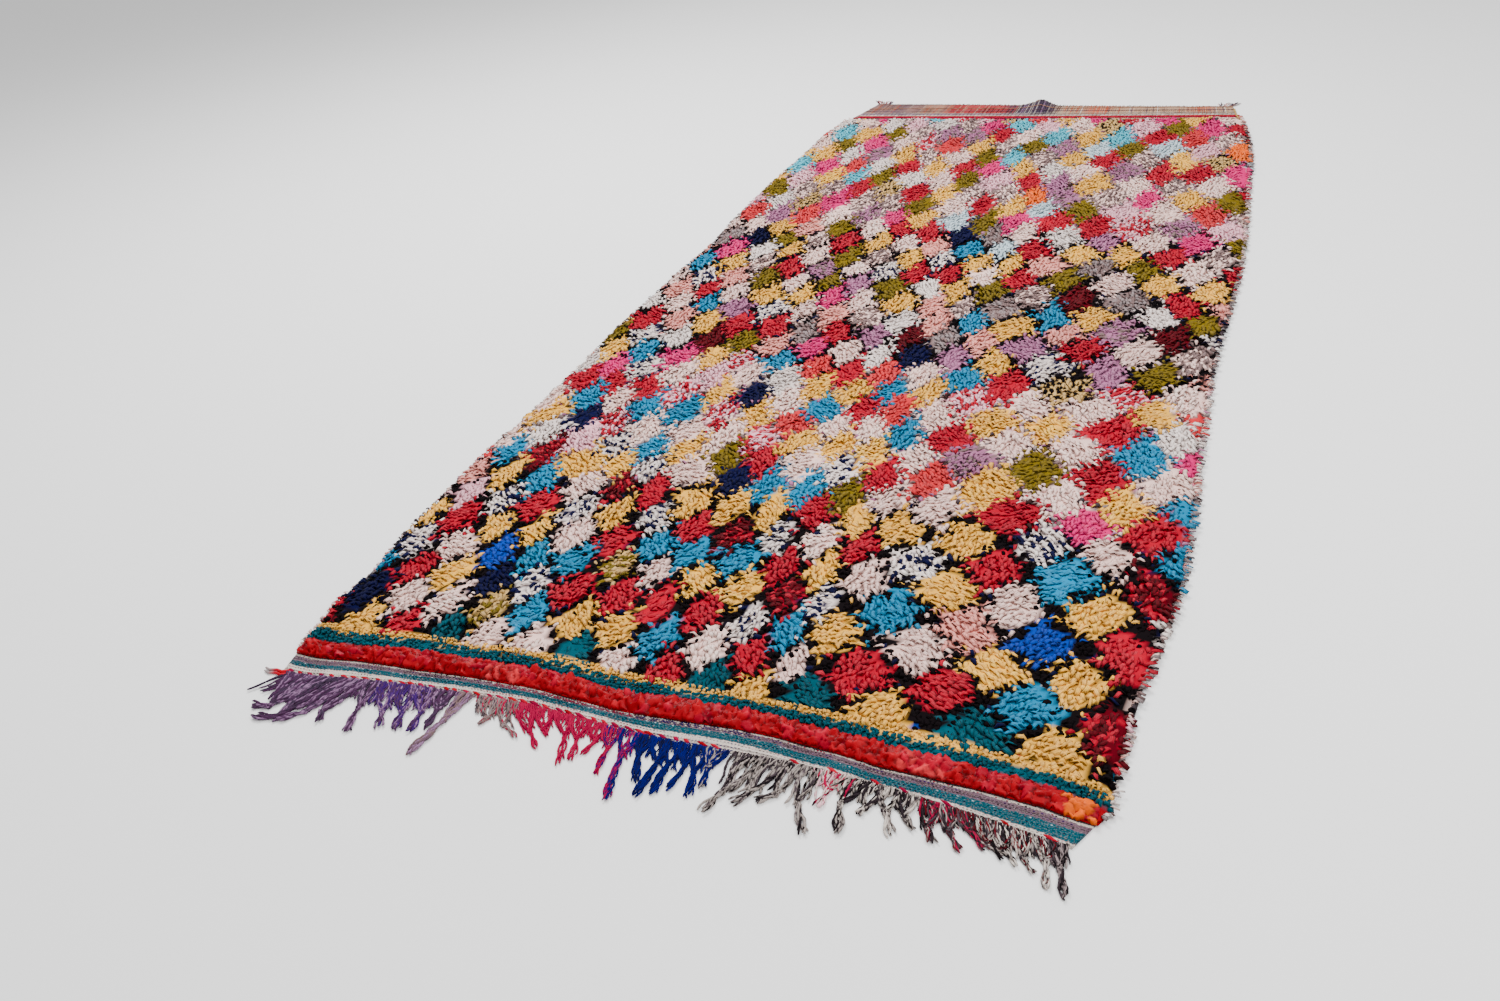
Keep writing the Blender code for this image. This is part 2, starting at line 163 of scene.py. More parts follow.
GREY_KNOTS = (
    (0.178, 0.022, 0.158, -0.041, 0.141, -0.092),
    (0.209, 0.032, 0.194, -0.031, 0.176, -0.062),
    (0.234, 0.022, 0.229, -0.025, 0.206, -0.048),
    (0.258, 0.022, 0.263, -0.029, 0.294, -0.085),
    (0.296, 0.030, 0.295, 0.006, 0.290, -0.035),
    (0.332, 0.026, 0.319, -0.014, 0.331, -0.072),
    (0.354, 0.018, 0.352, -0.014, 0.346, -0.030),
    (0.374, 0.026, 0.379, -0.011, 0.398, -0.057),
    (0.398, 0.024, 0.406, -0.011, 0.424, -0.034),
)
CHARCOAL_KNOTS = (
    (0.430, 0.024, 0.438, -0.020, 0.455, -0.052),
    (0.455, 0.022, 0.466, -0.018, 0.492, -0.054),
    (0.478, 0.026, 0.492, -0.012, 0.524, -0.040),
    (0.504, 0.026, 0.519, -0.024, 0.546, -0.047),
    (0.530, 0.024, 0.540, -0.026, 0.562, -0.056),
    (0.554, 0.024, 0.566, -0.034, 0.584, -0.060),
    (0.582, 0.026, 0.595, -0.029, 0.601, -0.082),
    (0.603, 0.016, 0.611, -0.035, 0.626, -0.088),
)

# Rag and yarn dyes: red, green, blue, 0 to 255
DYES = {
    "red": (192, 4, 50),
    "scarlet": (184, 0, 32),
    "maroon": (104, 0, 24),
    "coral": (222, 58, 66),
    "orange": (255, 112, 0),
    "salmon": (246, 164, 152),
    "yellow": (255, 194, 82),
    "tan": (214, 176, 112),
    "cream": (255, 216, 206),
    "white": (244, 228, 222),
    "pink": (250, 190, 202),
    "hot_pink": (230, 40, 126),
    "magenta": (220, 34, 138),
    "lilac": (182, 118, 154),
    "turquoise": (0, 142, 184),
    "aqua": (92, 196, 216),
    "light_blue": (206, 224, 232),
    "royal": (8, 70, 176),
    "navy": (14, 16, 66),
    "teal": (0, 88, 102),
    "green": (40, 130, 96),
    "olive": (128, 108, 22),
    "black": (22, 14, 18),
    "brown": (70, 46, 44),
    "grey": (158, 142, 142),
    "dark_grey": (84, 72, 78),
    "taupe": (140, 116, 114),
    "plum": (84, 52, 84),
    "lilac_yarn": (152, 118, 152),
    "violet": (72, 34, 110),
    "raspberry": (172, 0, 70),
    "ultramarine": (4, 8, 108),
    "ply_grey": (176, 164, 158),
    "bone": (226, 214, 204),
    "charcoal": (52, 42, 48),
    "mauve_grey": (122, 96, 110),
    "umber": (176, 132, 112),
    "brick": (188, 62, 66),
    "dusk": (72, 56, 78),
    "straw": (200, 164, 136),
    "rust": (204, 104, 74),
}
# How much deeper the dyes are than they look in the light
DYE_DEPTH = 1.10

# Mottled rags: first dye, second dye, share of the second
MOTTLES = {
    "navy_mottle": ("white", "navy", 0.30),
    "red_mottle": ("pink", "red", 0.5),
    "grey_mottle": ("grey", "taupe", 0.5),
    "moss_mottle": ("tan", "black", 0.35),
    "olive_mottle": ("tan", "olive", 0.4),
    "dark_red_mottle": ("maroon", "red", 0.35),
    "magenta_mottle": ("lilac", "hot_pink", 0.5),
    "wool_mottle": ("taupe", "cream", 0.45),
    "lilac_mottle": ("lilac", "taupe", 0.35),
}

# Which dyes share a piece
FAMILIES = {
    "rags_red": ("red", "scarlet", "maroon", "coral", "orange", "salmon"),
    "rags_cream": ("cream", "white", "taupe"),
    "rags_yellow": ("yellow", "tan", "olive"),
    "rags_blue": ("turquoise", "aqua", "light_blue", "royal", "navy", "teal", "green"),
    "rags_pink": ("pink", "hot_pink", "magenta", "lilac", "grey"),
    "rags_dark": ("black", "brown", "dark_grey"),
}

# Lozenge colours by zone: where the zone ends along, share of dark outline, dyes and weights
ZONES = (
    (0.635, 0.95, (
        ("red", 24), ("yellow", 25), ("cream", 22), ("navy_mottle", 8), ("turquoise", 9),
        ("dark_red_mottle", 4), ("navy", 2), ("salmon", 1.5), ("pink", 1), ("royal", 1),
        ("magenta_mottle", 1), ("olive_mottle", 2),
    )),
    (1.150, 0.0, (
        ("red", 23), ("yellow", 22), ("cream", 22), ("white", 5), ("turquoise", 10),
        ("navy_mottle", 8), ("red_mottle", 5), ("navy", 1.5), ("olive", 3), ("coral", 3),
        ("pink", 2), ("dark_red_mottle", 2), ("hot_pink", 1.5), ("lilac_mottle", 2), ("moss_mottle", 1.5),
    )),
    (1.915, 0.8, (
        ("red", 16), ("yellow", 14), ("cream", 18), ("white", 5), ("olive", 9), ("lilac", 6),
        ("salmon", 7), ("hot_pink", 3), ("magenta", 1.5), ("maroon", 4), ("grey_mottle", 5),
        ("navy", 1.5), ("turquoise", 4), ("navy_mottle", 5), ("light_blue", 2), ("wool_mottle", 4),
        ("lilac_mottle", 2),
    )),
    (3.100, 0.0, (
        ("cream", 14), ("white", 7), ("pink", 12), ("lilac", 2.5), ("light_blue", 7), ("olive", 7),
        ("red", 17), ("hot_pink", 6), ("yellow", 10), ("orange", 1.2), ("coral", 4),
        ("wool_mottle", 8), ("lilac_mottle", 4), ("aqua", 5), ("moss_mottle", 3),
        ("red_mottle", 3), ("maroon", 1),
    )),
)
BASE_ROW = (
    "yellow", "red", "teal", "cream", "cream", "teal", "cream", "red", "teal", "yellow", "teal",
    "yellow", "teal", "yellow",
)

# Lozenge columns: place across, count at the near end, count at the far end
COLUMN_COUNTS = (
    (-0.720, -0.75, -0.65),
    (-0.580, 1.00, 1.00),
    (0.054, 9.00, 8.60),
    (0.190, 11.00, 10.10),
    (0.580, 14.00, 14.10),
    (0.720, 15.10, 15.60),
)
# Half rows of lozenges: distance from the yellow line, count
ROW_COUNTS = ((-0.10, -1.55), (0.00, -0.25), (0.30, 3.8), (1.03, 13.3), (1.80, 22.4), (2.86, 33.2))

dice = np.random.default_rng(31)


def linear(name):
    """Scene-linear colour of a dye."""
    values = np.array(DYES[name], float) / 255.0
    values = np.where(values <= 0.04045, values / 12.92, ((values + 0.055) / 1.055) ** 2.4)
    return values ** DYE_DEPTH


def column_of(table, column):
    return np.array([row[column] for row in table])


def left_edge(place):
    return np.interp(place, column_of(SIDES, 0), column_of(SIDES, 1))


def right_edge(place):
    return np.interp(place, column_of(SIDES, 0), column_of(SIDES, 2))


HEM_COUNT = round((NEAR_HEM[-1][0] - NEAR_HEM[0][0]) / HEM_STEP)
HEM_PLACES = np.linspace(NEAR_HEM[0][0], NEAR_HEM[-1][0], HEM_COUNT + 1)
HEM_TURNS = np.interp(HEM_PLACES, column_of(NEAR_HEM, 0), column_of(NEAR_HEM, 1))


def near_hem(across):
    return np.interp(across, HEM_PLACES, HEM_TURNS)


def far_hem(across):
    return np.interp(across, column_of(FAR_HEM, 0), column_of(FAR_HEM, 1))


def fold_lift(across, place):
    """Height of the buckle in the far hem."""
    share = np.clip((place - FOLD_START) / (far_hem(across) - FOLD_START), 0, 1)
    reach = np.where(across < FOLD_CENTRE, (FOLD_CENTRE - across) / FOLD_LEFT, (across - FOLD_CENTRE) / FOLD_RIGHT)
    return FOLD_HEIGHT * 0.5 * (1 + np.cos(math.pi * np.clip(reach, 0, 1) ** 0.7)) * share ** 1.4


cloth_low, cloth_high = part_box("ground_cloth")
PLACE = np.array([
    cloth_low[0] - column_of(SIDES, 1).min(),
    cloth_low[1] - HEM_TURNS.min(),
    0.0,
])


def waves(seed, length, count=7):
    """A smooth uneven field over the rug, from -1 to 1, with humps about length apart."""
    own = np.random.default_rng(seed)
    angles = own.uniform(0, math.tau, count)
    sizes = math.tau / (length * own.uniform(0.7, 1.5, count))
    turns = own.uniform(0, math.tau, count)

    def field(across, place):
        total = 0.0
        for angle, size, turn in zip(angles, sizes, turns):
            total = total + np.sin(size * (across * math.cos(angle) + place * math.sin(angle)) + turn)
        return total / math.sqrt(count * 0.9)

    return field


# Building meshes from arrays


def mesh_piece(name, points, faces, dye, uv=None, smooth=False, fold=None):
    """One object from arrays of rug places; faces has one array for each count of corners."""
    mesh = bpy.data.meshes.new(name)
    points = np.asarray(points, float) + PLACE
    faces = [np.asarray(face, np.int32) for face in faces if len(face)]
    corners = np.concatenate([face.ravel() for face in faces])
    sizes = np.concatenate([np.full(len(face), face.shape[1]) for face in faces])
    starts = np.concatenate([[0], np.cumsum(sizes)[:-1]])
    mesh.vertices.add(len(points))
    mesh.vertices.foreach_set("co", points.astype(np.float32).ravel())
    mesh.loops.add(len(corners))
    mesh.loops.foreach_set("vertex_index", corners.astype(np.int32))
    mesh.polygons.add(len(starts))
    mesh.polygons.foreach_set("loop_start", starts.astype(np.int32))
    mesh.update(calc_edges=True)
    if dye is not None:
        layer = mesh.attributes.new("dye", "FLOAT_COLOR", "POINT")
        rgba = np.ones((len(points), 4), np.float32)
        rgba[:, :3] = np.clip(dye, 0, 1)
        if fold is not None:
            rgba[:, 3] = fold
        layer.data.foreach_set("color", rgba.ravel())
    if uv is not None:
        layer = mesh.uv_layers.new(name="OFBake")
        layer.data.foreach_set("uv", np.asarray(uv, np.float32).ravel())
    if smooth:
        mesh.shade_smooth()
    piece = bpy.data.objects.new(name, mesh)
    bpy.context.scene.collection.objects.link(piece)
    return piece


def dress(piece, material, slot, *nodes):
    """Finish a piece: its material and the solid that it stands for; its slot argument is not used."""
    piece.data.materials.clear()
    piece.data.materials.append(material)
    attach(piece, "root")
    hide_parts(*nodes)
    return piece


def grid_quads(index):
    """Quads of a grid of point numbers, facing up where rows run along and columns across."""
    return np.stack([index[:-1, :-1], index[:-1, 1:], index[1:, 1:], index[1:, :-1]], -1).reshape(-1, 4)


def grid_ring(index):
    """Outer points of a grid, once round."""
    return np.concatenate([index[0, :-1], index[:-1, -1], index[-1, :0:-1], index[:0:-1, 0]])


def slab(name, top, low, dye=None, flat_below=False, smooth=True):
    """A closed slab between two grids of places, mapped for baking as two sheets and a wall."""
    shape = top.shape[:2]
    count = shape[0] * shape[1]
    index = np.arange(count).reshape(shape)
    ring = grid_ring(index)
    after = np.roll(ring, -1)
    shares = np.stack(np.meshgrid(np.linspace(0, 1, shape[1]), np.linspace(0, 1, shape[0])), -1)
    spots = shares.reshape(-1, 2)
    quads = grid_quads(index)
    sheet_size = np.array([0.44, 0.98])
    top_map = spots[quads.ravel()] * sheet_size + 0.01
    low_start = np.array([0.49, 0.01])
    if flat_below:
        number = dict(zip(ring.tolist(), range(len(ring))))
        under = np.array([count + number[point] for point in ring.tolist()])
        below = [under[::-1][None]]
        low_map = spots[ring[::-1]] * sheet_size + low_start
        points = np.concatenate([top.reshape(-1, 3), low.reshape(-1, 3)[ring]])
    else:
        under = ring + count
        below = [quads[:, ::-1] + count]
        low_map = spots[quads[:, ::-1].ravel()] * sheet_size + low_start
        points = np.concatenate([top.reshape(-1, 3), low.reshape(-1, 3)])
    walls = np.stack([under, np.roll(under, -1), after, ring], 1)
    steps = np.arange(len(ring)) / len(ring)
    step = 1.0 / len(ring)
    wall_map = np.stack([
        np.stack([np.full(len(ring), 0.96), steps], 1),
        np.stack([np.full(len(ring), 0.96), steps + step], 1),
        np.stack([np.full(len(ring), 0.99), steps + step], 1),
        np.stack([np.full(len(ring), 0.99), steps], 1),
    ], 1).reshape(-1, 2)
    if flat_below:
        faces = [quads, walls, below[0]]
        uv = np.concatenate([top_map, wall_map, low_map])
    else:
        faces = [np.concatenate([quads, walls, below[0]])]
        uv = np.concatenate([top_map, wall_map, low_map])
    if dye is not None:
        # Painted shade: the lower points, under the slab and at the foot of its walls, get half the top's colour
        dye = np.concatenate([dye, (dye[ring] if flat_below else dye) * 0.5])
    return mesh_piece(name, points, faces, dye, uv, smooth)


class Heap:
    """Points and faces of many small parts that end up in one mesh."""

    def __init__(self):
        self.points = []
        self.dyes = []
        self.triangles = []
        self.quads = []
        self.count = 0

    def add(self, points, triangles, quads, dye):
        points = np.asarray(points, float)
        self.points.append(points)
        self.dyes.append(np.broadcast_to(np.asarray(dye, float), points.shape))
        if len(triangles):
            self.triangles.append(np.asarray(triangles) + self.count)
        if len(quads):
            self.quads.append(np.asarray(quads) + self.count)
        self.count += len(points)

    def piece(self, name, smooth=True):
        faces = [np.concatenate(group) for group in (self.triangles, self.quads) if group]
        points = np.concatenate(self.points)
        return mesh_piece(name, points, faces, np.concatenate(self.dyes), None, smooth)


def tube(heap, path, radii, dye, sides=5):
    """A closed tube along a path; radii and dye are for each point, or each point and side."""
    path = np.asarray(path, float)
    count = len(path)
    radii = np.asarray(radii, float)
    if radii.ndim < 2:
        radii = np.repeat(np.broadcast_to(radii, (count,))[:, None], sides, axis=1)
    dye = np.asarray(dye, float)
    if dye.ndim == 1:
        dye = np.broadcast_to(dye, (count, 3))
    if dye.ndim == 2:
        dye = np.repeat(dye[:, None, :], sides, axis=1)
    ahead = np.gradient(path, axis=0)
    ahead /= np.linalg.norm(ahead, axis=1)[:, None] + 1e-12
    side = np.cross(ahead, np.array([0.0, 0.0, 1.0]))
    short = np.linalg.norm(side, axis=1) < 1e-3
    side[short] = np.cross(ahead[short], np.array([0.0, 1.0, 0.0]))
    side /= np.linalg.norm(side, axis=1)[:, None]
    over = np.cross(side, ahead)
    angles = np.arange(sides) / sides * math.tau
    ring = side[:, None, :] * np.cos(angles)[None, :, None]
    ring = ring + over[:, None, :] * np.sin(angles)[None, :, None]
    points = (path[:, None, :] + ring * radii[:, :, None]).reshape(-1, 3)
    rows, steps = np.meshgrid(np.arange(count - 1) * sides, np.arange(sides), indexing="ij")
    after = (steps + 1) % sides
    quads = np.stack([rows + steps, rows + sides + steps, rows + sides + after, rows + after], -1)
    first = len(points)
    points = np.concatenate([points, path[:1], path[-1:]])
    steps = np.arange(sides)
    after = (steps + 1) % sides
    top = (count - 1) * sides
    starts = np.stack([np.full(sides, first), steps, after], 1)
    ends = np.stack([np.full(sides, first + 1), top + after, top + steps], 1)
    dye = np.concatenate([dye.reshape(-1, 3), dye[0, :1], dye[-1, :1]])
    heap.add(points, np.concatenate([starts, ends]), quads.reshape(-1, 4), dye)


# Rag tufts: a bent strip with three sides, root, bend and blunt tip
TUFT_TRIANGLES = np.array([[0, 2, 1], [5, 3, 6], [4, 5, 7], [5, 6, 7]])
TUFT_QUADS = np.array([[0, 1, 4, 3], [1, 2, 5, 4], [2, 0, 3, 5], [3, 4, 7, 6]])
TUFT_FOLD = np.array([0, 1, 0.5, 0, 1, 0.5, 0, 1], float)
# Painted shade: each strip is coloured darkest at its root and a little darker at its bend than at its tip
TUFT_ROOT_SHADE = 0.70
TUFT_BEND_SHADE = 0.92
TUFT_SIZE = 8


def tufts(roots, heading, length, rise, width, thickness, twist, dye):
    """Points and colours of many strips at once; the arrays have one row for each strip."""
    count = len(roots)
    ahead = np.stack([np.cos(heading), np.sin(heading), np.zeros(count)], 1)
    across = np.stack([-np.sin(heading), np.cos(heading), np.zeros(count)], 1)
    upright = np.array([0.0, 0.0, 1.0])
    side = across * np.cos(twist)[:, None] + upright * np.sin(twist)[:, None]
    back = ahead * 0.6 - upright * 0.8
    over = upright * np.cos(twist)[:, None] - across * np.sin(twist)[:, None]
    bend = roots + ahead * (length * 0.36)[:, None] + upright * rise[:, None]
    tip = roots + ahead * length[:, None] + upright * (rise * 0.55)[:, None]
    half = (width * 0.5)[:, None]
    deep = thickness[:, None]
    root_half = half * 0.7
    points = np.empty((count, TUFT_SIZE, 3))
    points[:, 0] = roots - side * root_half
    points[:, 1] = roots + side * root_half
    points[:, 2] = roots - back * deep
    points[:, 3] = bend - side * half
    points[:, 4] = bend + side * half
    points[:, 5] = bend + over * deep
    points[:, 6] = tip - side * half * 0.85
    points[:, 7] = tip + side * half * 0.85
    points[..., 2] = np.maximum(points[..., 2], 0.0004)
    # Painted shade, darkest at the root
    shade = np.array([TUFT_ROOT_SHADE] * 3 + [TUFT_BEND_SHADE] * 3 + [1.0] * 2)
    colours = dye[:, None, :] * shade[None, :, None]
    return points, colours


def tuft_map(count):
    """A small square of the baking map for each strip, its three sides next to each other."""
    side = math.ceil(math.sqrt(count))
    cell = 1.0 / side
    index = np.arange(count)
    low = np.stack([index % side, index // side], 1) * cell
    spots = {
        0: (0.04, 0.10), 1: (0.35, 0.10), 2: (0.65, 0.10), 3: (0.04, 0.55), 4: (0.35, 0.55),
        5: (0.65, 0.55), 6: (0.04, 0.95), 7: (0.35, 0.95),
    }
    faces = []
    for face in TUFT_TRIANGLES:
        faces.append([spots[corner] for corner in face])
    faces[0] = [(0.02, 0.02), (0.20, 0.06), (0.38, 0.02)]
    faces[1] = [(0.95, 0.55), (0.97, 0.55), (0.96, 0.95)]
    faces[3] = [(0.65, 0.55), (0.42, 0.95), (0.88, 0.95)]
    corners = sum(faces, [])
    last_column = {0: (0.95, 0.10), 3: (0.95, 0.55)}
    for number, face in enumerate(TUFT_QUADS):
        for corner in face:
            spot = last_column.get(corner, spots[corner]) if number == 2 else spots[corner]
            corners.append(spot)
    corners = np.array(corners)
    triangles = 3 * len(TUFT_TRIANGLES)
    mapped = low[:, None, :] + corners[None] * cell
    return np.concatenate([mapped[:, :triangles].reshape(-1, 2), mapped[:, triangles:].reshape(-1, 2)])


def tuft_piece(name, points, colours):
    """One mesh of many strips."""
    count = len(points)
    steps = (np.arange(count) * TUFT_SIZE)[:, None, None]
    triangles = (TUFT_TRIANGLES[None] + steps).reshape(-1, 3)
    quads = (TUFT_QUADS[None] + steps).reshape(-1, 4)
    faces = [triangles, quads]
    fold = np.tile(TUFT_FOLD, count)
    return mesh_piece(name, points.reshape(-1, 3), faces, colours.reshape(-1, 3), tuft_map(count), False, fold)


# Materials


def blank(name):
    """A new material with its nodes, its shader and a maker of linked nodes."""
    material = bpy.data.materials.new(name)
    material.use_nodes = True
    tree = material.node_tree
    shader = tree.nodes["Principled BSDF"]

    def add(kind, settings=None, **sockets):
        node = tree.nodes.new(kind)
        for key, value in (settings or {}).items():
            setattr(node, key, value)
        for key, value in sockets.items():
            socket = node.inputs[int(key[1:])] if key[0] == "i" and key[1:].isdigit() else node.inputs[key]
            if isinstance(value, bpy.types.NodeSocket):
                tree.links.new(value, socket)
            else:
                socket.default_value = value
        return node

    return material, tree, shader, add


def fibre_material(name, grain=850.0, fleck=0.22, roughness=0.86, sheen=0.02, bump=0.5, crease_shading=0.0):
    """Dyed cloth or yarn: its colour from the piece, with flecks and fibre bump, and crease lines that are bump plus
    painted shade in the fold and painted highlight beside it.
    """
    material, tree, shader, add = blank(name)
    place = add("ShaderNodeTexCoord").outputs["Object"]
    dye = add("ShaderNodeAttribute", {"attribute_name": "dye"})
    fine = add("ShaderNodeTexNoise", Vector=place, Scale=grain, Detail=3.0, Roughness=0.6)
    broad = add("ShaderNodeTexNoise", Vector=place, Scale=grain * 0.09, Detail=2.0, Roughness=0.5)
    fade = add("ShaderNodeMapRange", Value=fine.outputs["Fac"])
    fade.inputs["From Min"].default_value = 0.25
    fade.inputs["From Max"].default_value = 0.75
    fade.inputs["To Min"].default_value = 1.0 - fleck
    fade.inputs["To Max"].default_value = 1.0 + fleck * 0.6
    worn = add("ShaderNodeMapRange", Value=broad.outputs["Fac"])
    worn.inputs["From Min"].default_value = 0.3
    worn.inputs["From Max"].default_value = 0.7
    worn.inputs["To Min"].default_value = 0.88
    worn.inputs["To Max"].default_value = 1.10
    tone = add("ShaderNodeMath", {"operation": "MULTIPLY"}, i0=fade.outputs[0], i1=worn.outputs[0]).outputs[0]
    height = fine.outputs["Fac"]
    # Painted shade and highlight: lines across each strip, darker in the fold and a little lighter beside it
    if crease_shading:
        turn = add("ShaderNodeMath", {"operation": "MULTIPLY_ADD"}, i0=broad.outputs["Fac"], i1=9.0)
        spread = add("ShaderNodeMath", {"operation": "MULTIPLY_ADD"}, i0=dye.outputs["Alpha"], i1=19.0,
                     i2=turn.outputs[0])
        line = add("ShaderNodeMath", {"operation": "SINE"}, i0=spread.outputs[0]).outputs[0]
        dark = add("ShaderNodeMapRange", Value=line)
        dark.inputs["From Min"].default_value = -1.0
        dark.inputs["To Min"].default_value = 1.0 - crease_shading
        dark.inputs["To Max"].default_value = 1.0 + crease_shading * 0.35
        tone = add("ShaderNodeMath", {"operation": "MULTIPLY"}, i0=tone, i1=dark.outputs[0]).outputs[0]
        height = add("ShaderNodeMath", {"operation": "MULTIPLY_ADD"}, i0=line, i1=0.6, i2=height).outputs[0]
    shaded = add("ShaderNodeVectorMath", {"operation": "SCALE"}, i0=dye.outputs["Color"], Scale=tone)
    tree.links.new(shaded.outputs[0], shader.inputs["Base Color"])
    rough = add("ShaderNodeMapRange", Value=broad.outputs["Fac"])
    rough.inputs["To Min"].default_value = roughness - 0.10
    rough.inputs["To Max"].default_value = min(1.0, roughness + 0.10)
    tree.links.new(rough.outputs[0], shader.inputs["Roughness"])
    relief = add("ShaderNodeBump", Height=height, Strength=bump, Distance=0.0008)
    tree.links.new(relief.outputs[0], shader.inputs["Normal"])
    shader.inputs["Sheen Weight"].default_value = sheen
    shader.inputs["Sheen Roughness"].default_value = 0.45
    shader.inputs["Specular IOR Level"].default_value = 0.06
    return material


# The lozenge pattern
warp_across = waves(3, 0.24)
warp_along = waves(4, 0.28)
wobble_across = waves(5, 0.06)
wobble_along = waves(6, 0.06)


# Near end stripes at places across: how far from the hem the pale weave ends, the teal weave ends,
# the red band starts and ends, the teal pile ends, the yellow pile ends; and their even distances
STRIPE_ENDS = (
    (-0.64, 0.000, 0.019, 0.029, 0.044, 0.070, 0.099, 0.114, 0.200),
    (-0.53, 0.000, 0.020, 0.030, 0.044, 0.069, 0.098, 0.113, 0.200),
    (-0.42, 0.000, 0.016, 0.026, 0.037, 0.069, 0.092, 0.106, 0.200),
    (-0.33, 0.000, 0.018, 0.028, 0.037, 0.067, 0.087, 0.101, 0.200),
    (-0.18, 0.000, 0.017, 0.026, 0.033, 0.065, 0.087, 0.102, 0.200),
    (-0.07, 0.000, 0.016, 0.026, 0.032, 0.062, 0.085, 0.100, 0.200),
    (0.02, 0.000, 0.018, 0.032, 0.040, 0.074, 0.094, 0.106, 0.200),
    (0.13, 0.000, 0.022, 0.036, 0.045, 0.074, 0.090, 0.102, 0.200),
    (0.25, 0.000, 0.010, 0.026, 0.039, 0.066, 0.086, 0.101, 0.200),
    (0.35, 0.000, 0.006, 0.022, 0.033, 0.065, 0.088, 0.106, 0.200),
    (0.48, 0.000, 0.010, 0.028, 0.044, 0.070, 0.091, 0.110, 0.200),
    (0.575, 0.000, 0.010, 0.033, 0.051, 0.078, 0.098, 0.114, 0.200),
    (0.64, 0.000, 0.005, 0.028, 0.044, 0.067, 0.088, 0.102, 0.200),
)
EVEN_ENDS = (0.000, 0.010, 0.022, 0.046, 0.083, 0.103, 0.115, 0.200)


def rescale(across, value, evenly):
    """A distance from the hem turned into the even stripes' distance, or back."""
    real = [np.interp(across, column_of(STRIPE_ENDS, 0), column_of(STRIPE_ENDS, end + 1)) for end in range(8)]
    even = [np.full_like(real[0], end) for end in EVEN_ENDS]
    start, goal = (real, even) if evenly else (even, real)
    value = value + np.zeros_like(real[0])
    result = value.copy()
    for low, high, to_low, to_high in zip(start, start[1:], goal, goal[1:]):
        share = (value - low) / (high - low)
        result = np.where((share >= 0) & (share < 1), to_low + (to_high - to_low) * share, result)
    return result


def stripe_place(across, distance):
    """Place along of an even stripe distance."""
    return near_hem(across) + rescale(across, distance, False)


def pile_end(across):
    """Far edge of the pile at a place across."""
    return np.interp(across, column_of(FAR_PILE_EDGE, 0), column_of(FAR_PILE_EDGE, 1))


def from_hem(across, place):
    """Distance from the near hem in stripe sizes."""
    return rescale(across, place - near_hem(across), True)


# End stripes of pile: start and end as distances from the hem
RED_BAND = (0.046, 0.083)
TEAL_BAND = (0.083, 0.103)
YELLOW_BAND = (0.103, 0.115)
# Dark knots between the lozenges: they start this share of the way from a lozenge's middle to
# its edge, far in where the edge has a notch and close to the edge elsewhere
NOTCH_START = 0.75
GAP_START = 0.97
NOTCHES = 1.9
NOTCH_SHARE = 0.60
# Power that rounds the lozenges' tips
ROUNDING = 4.0


def lozenge(across, place):
    """Cell numbers of the lozenge at a place, how far out and how far along its side the place
    is, and the way out of the lozenge."""
    straight = np.clip(1 - (place - 0.1) / 0.7, 0, 1)
    line = stripe_place(across, YELLOW_BAND[1])
    start = line * straight + (0.02 + YELLOW_BAND[1]) * (1 - straight)
    near = np.interp(across, column_of(COLUMN_COUNTS, 0), column_of(COLUMN_COUNTS, 1))
    far = np.interp(across, column_of(COLUMN_COUNTS, 0), column_of(COLUMN_COUNTS, 2))
    column = near + (far - near) * place / PILE_END
    row = np.interp(place - start, column_of(ROW_COUNTS, 0), column_of(ROW_COUNTS, 1))
    calm = np.clip((place - 0.16) / 0.3, 0.1, 1)
    column = column + 0.07 * warp_across(across, place) * calm + 0.045 * wobble_across(across, place)
    row = row + 0.11 * warp_along(across, place) * calm + 0.075 * wobble_along(across, place) * calm
    first = column + row / 2
    second = column - row / 2
    one = np.rint(first).astype(int)
    two = np.rint(second).astype(int)
    in_first = first - one
    in_second = second - two
    edge = ((2 * np.abs(in_first)) ** ROUNDING + (2 * np.abs(in_second)) ** ROUNDING) ** (1 / ROUNDING)
    side = 2 * np.minimum(np.abs(in_first), np.abs(in_second))
    outward = np.arctan2(in_first - in_second, in_first + in_second)
    return one, two, edge, side, outward


def zone_of(place):
    return min(int(np.searchsorted([zone[0] for zone in ZONES], place)), len(ZONES) - 1)


# Dyes that look alike side by side
KINDS = {
    "white": "cream", "navy_mottle": "cream", "pink": "cream", "light_blue": "cream",
    "dark_red_mottle": "red", "coral": "red", "maroon": "red", "red_mottle": "red",
    "magenta": "hot_pink", "magenta_mottle": "hot_pink", "olive_mottle": "yellow",
}


def choose_lozenges():
    """Dye, tone and lean of each lozenge, chosen row by row so that neighbours mostly differ."""
    own = np.random.default_rng(77)
    chosen = {}
    for row in range(-3, 38):
        place = np.interp(row, column_of(ROW_COUNTS, 1), column_of(ROW_COUNTS, 0)) + 0.14
        options = ZONES[zone_of(place)][2]
        for two in range(-22, 26):
            one = two + row
            column = (one + two) // 2
            near = [chosen.get(key, ("", 0, 0))[0] for key in ((one - 1, two), (one, two + 1))]
            tips = [chosen.get(key, ("", 0, 0))[0] for key in ((one - 1, two + 1), (one - 1, two - 1))]
            kinds = [KINDS.get(name, name) for name in near]
            weights = np.array([
                weight * (0.02 if name in near else 0.15 if KINDS.get(name, name) in kinds else 1.0)
                * (0.4 if name in tips else 1.0)
                for name, weight in options
            ])
            name = options[own.choice(len(options), p=weights / weights.sum())][0]
            if row == 0 and 1 <= column <= len(BASE_ROW):
                name = BASE_ROW[column - 1]
            chosen[(one, two)] = (name, own.uniform(0.92, 1.10), own.uniform(-1.0, 1.0))
    return chosen


LOZENGES = choose_lozenges()


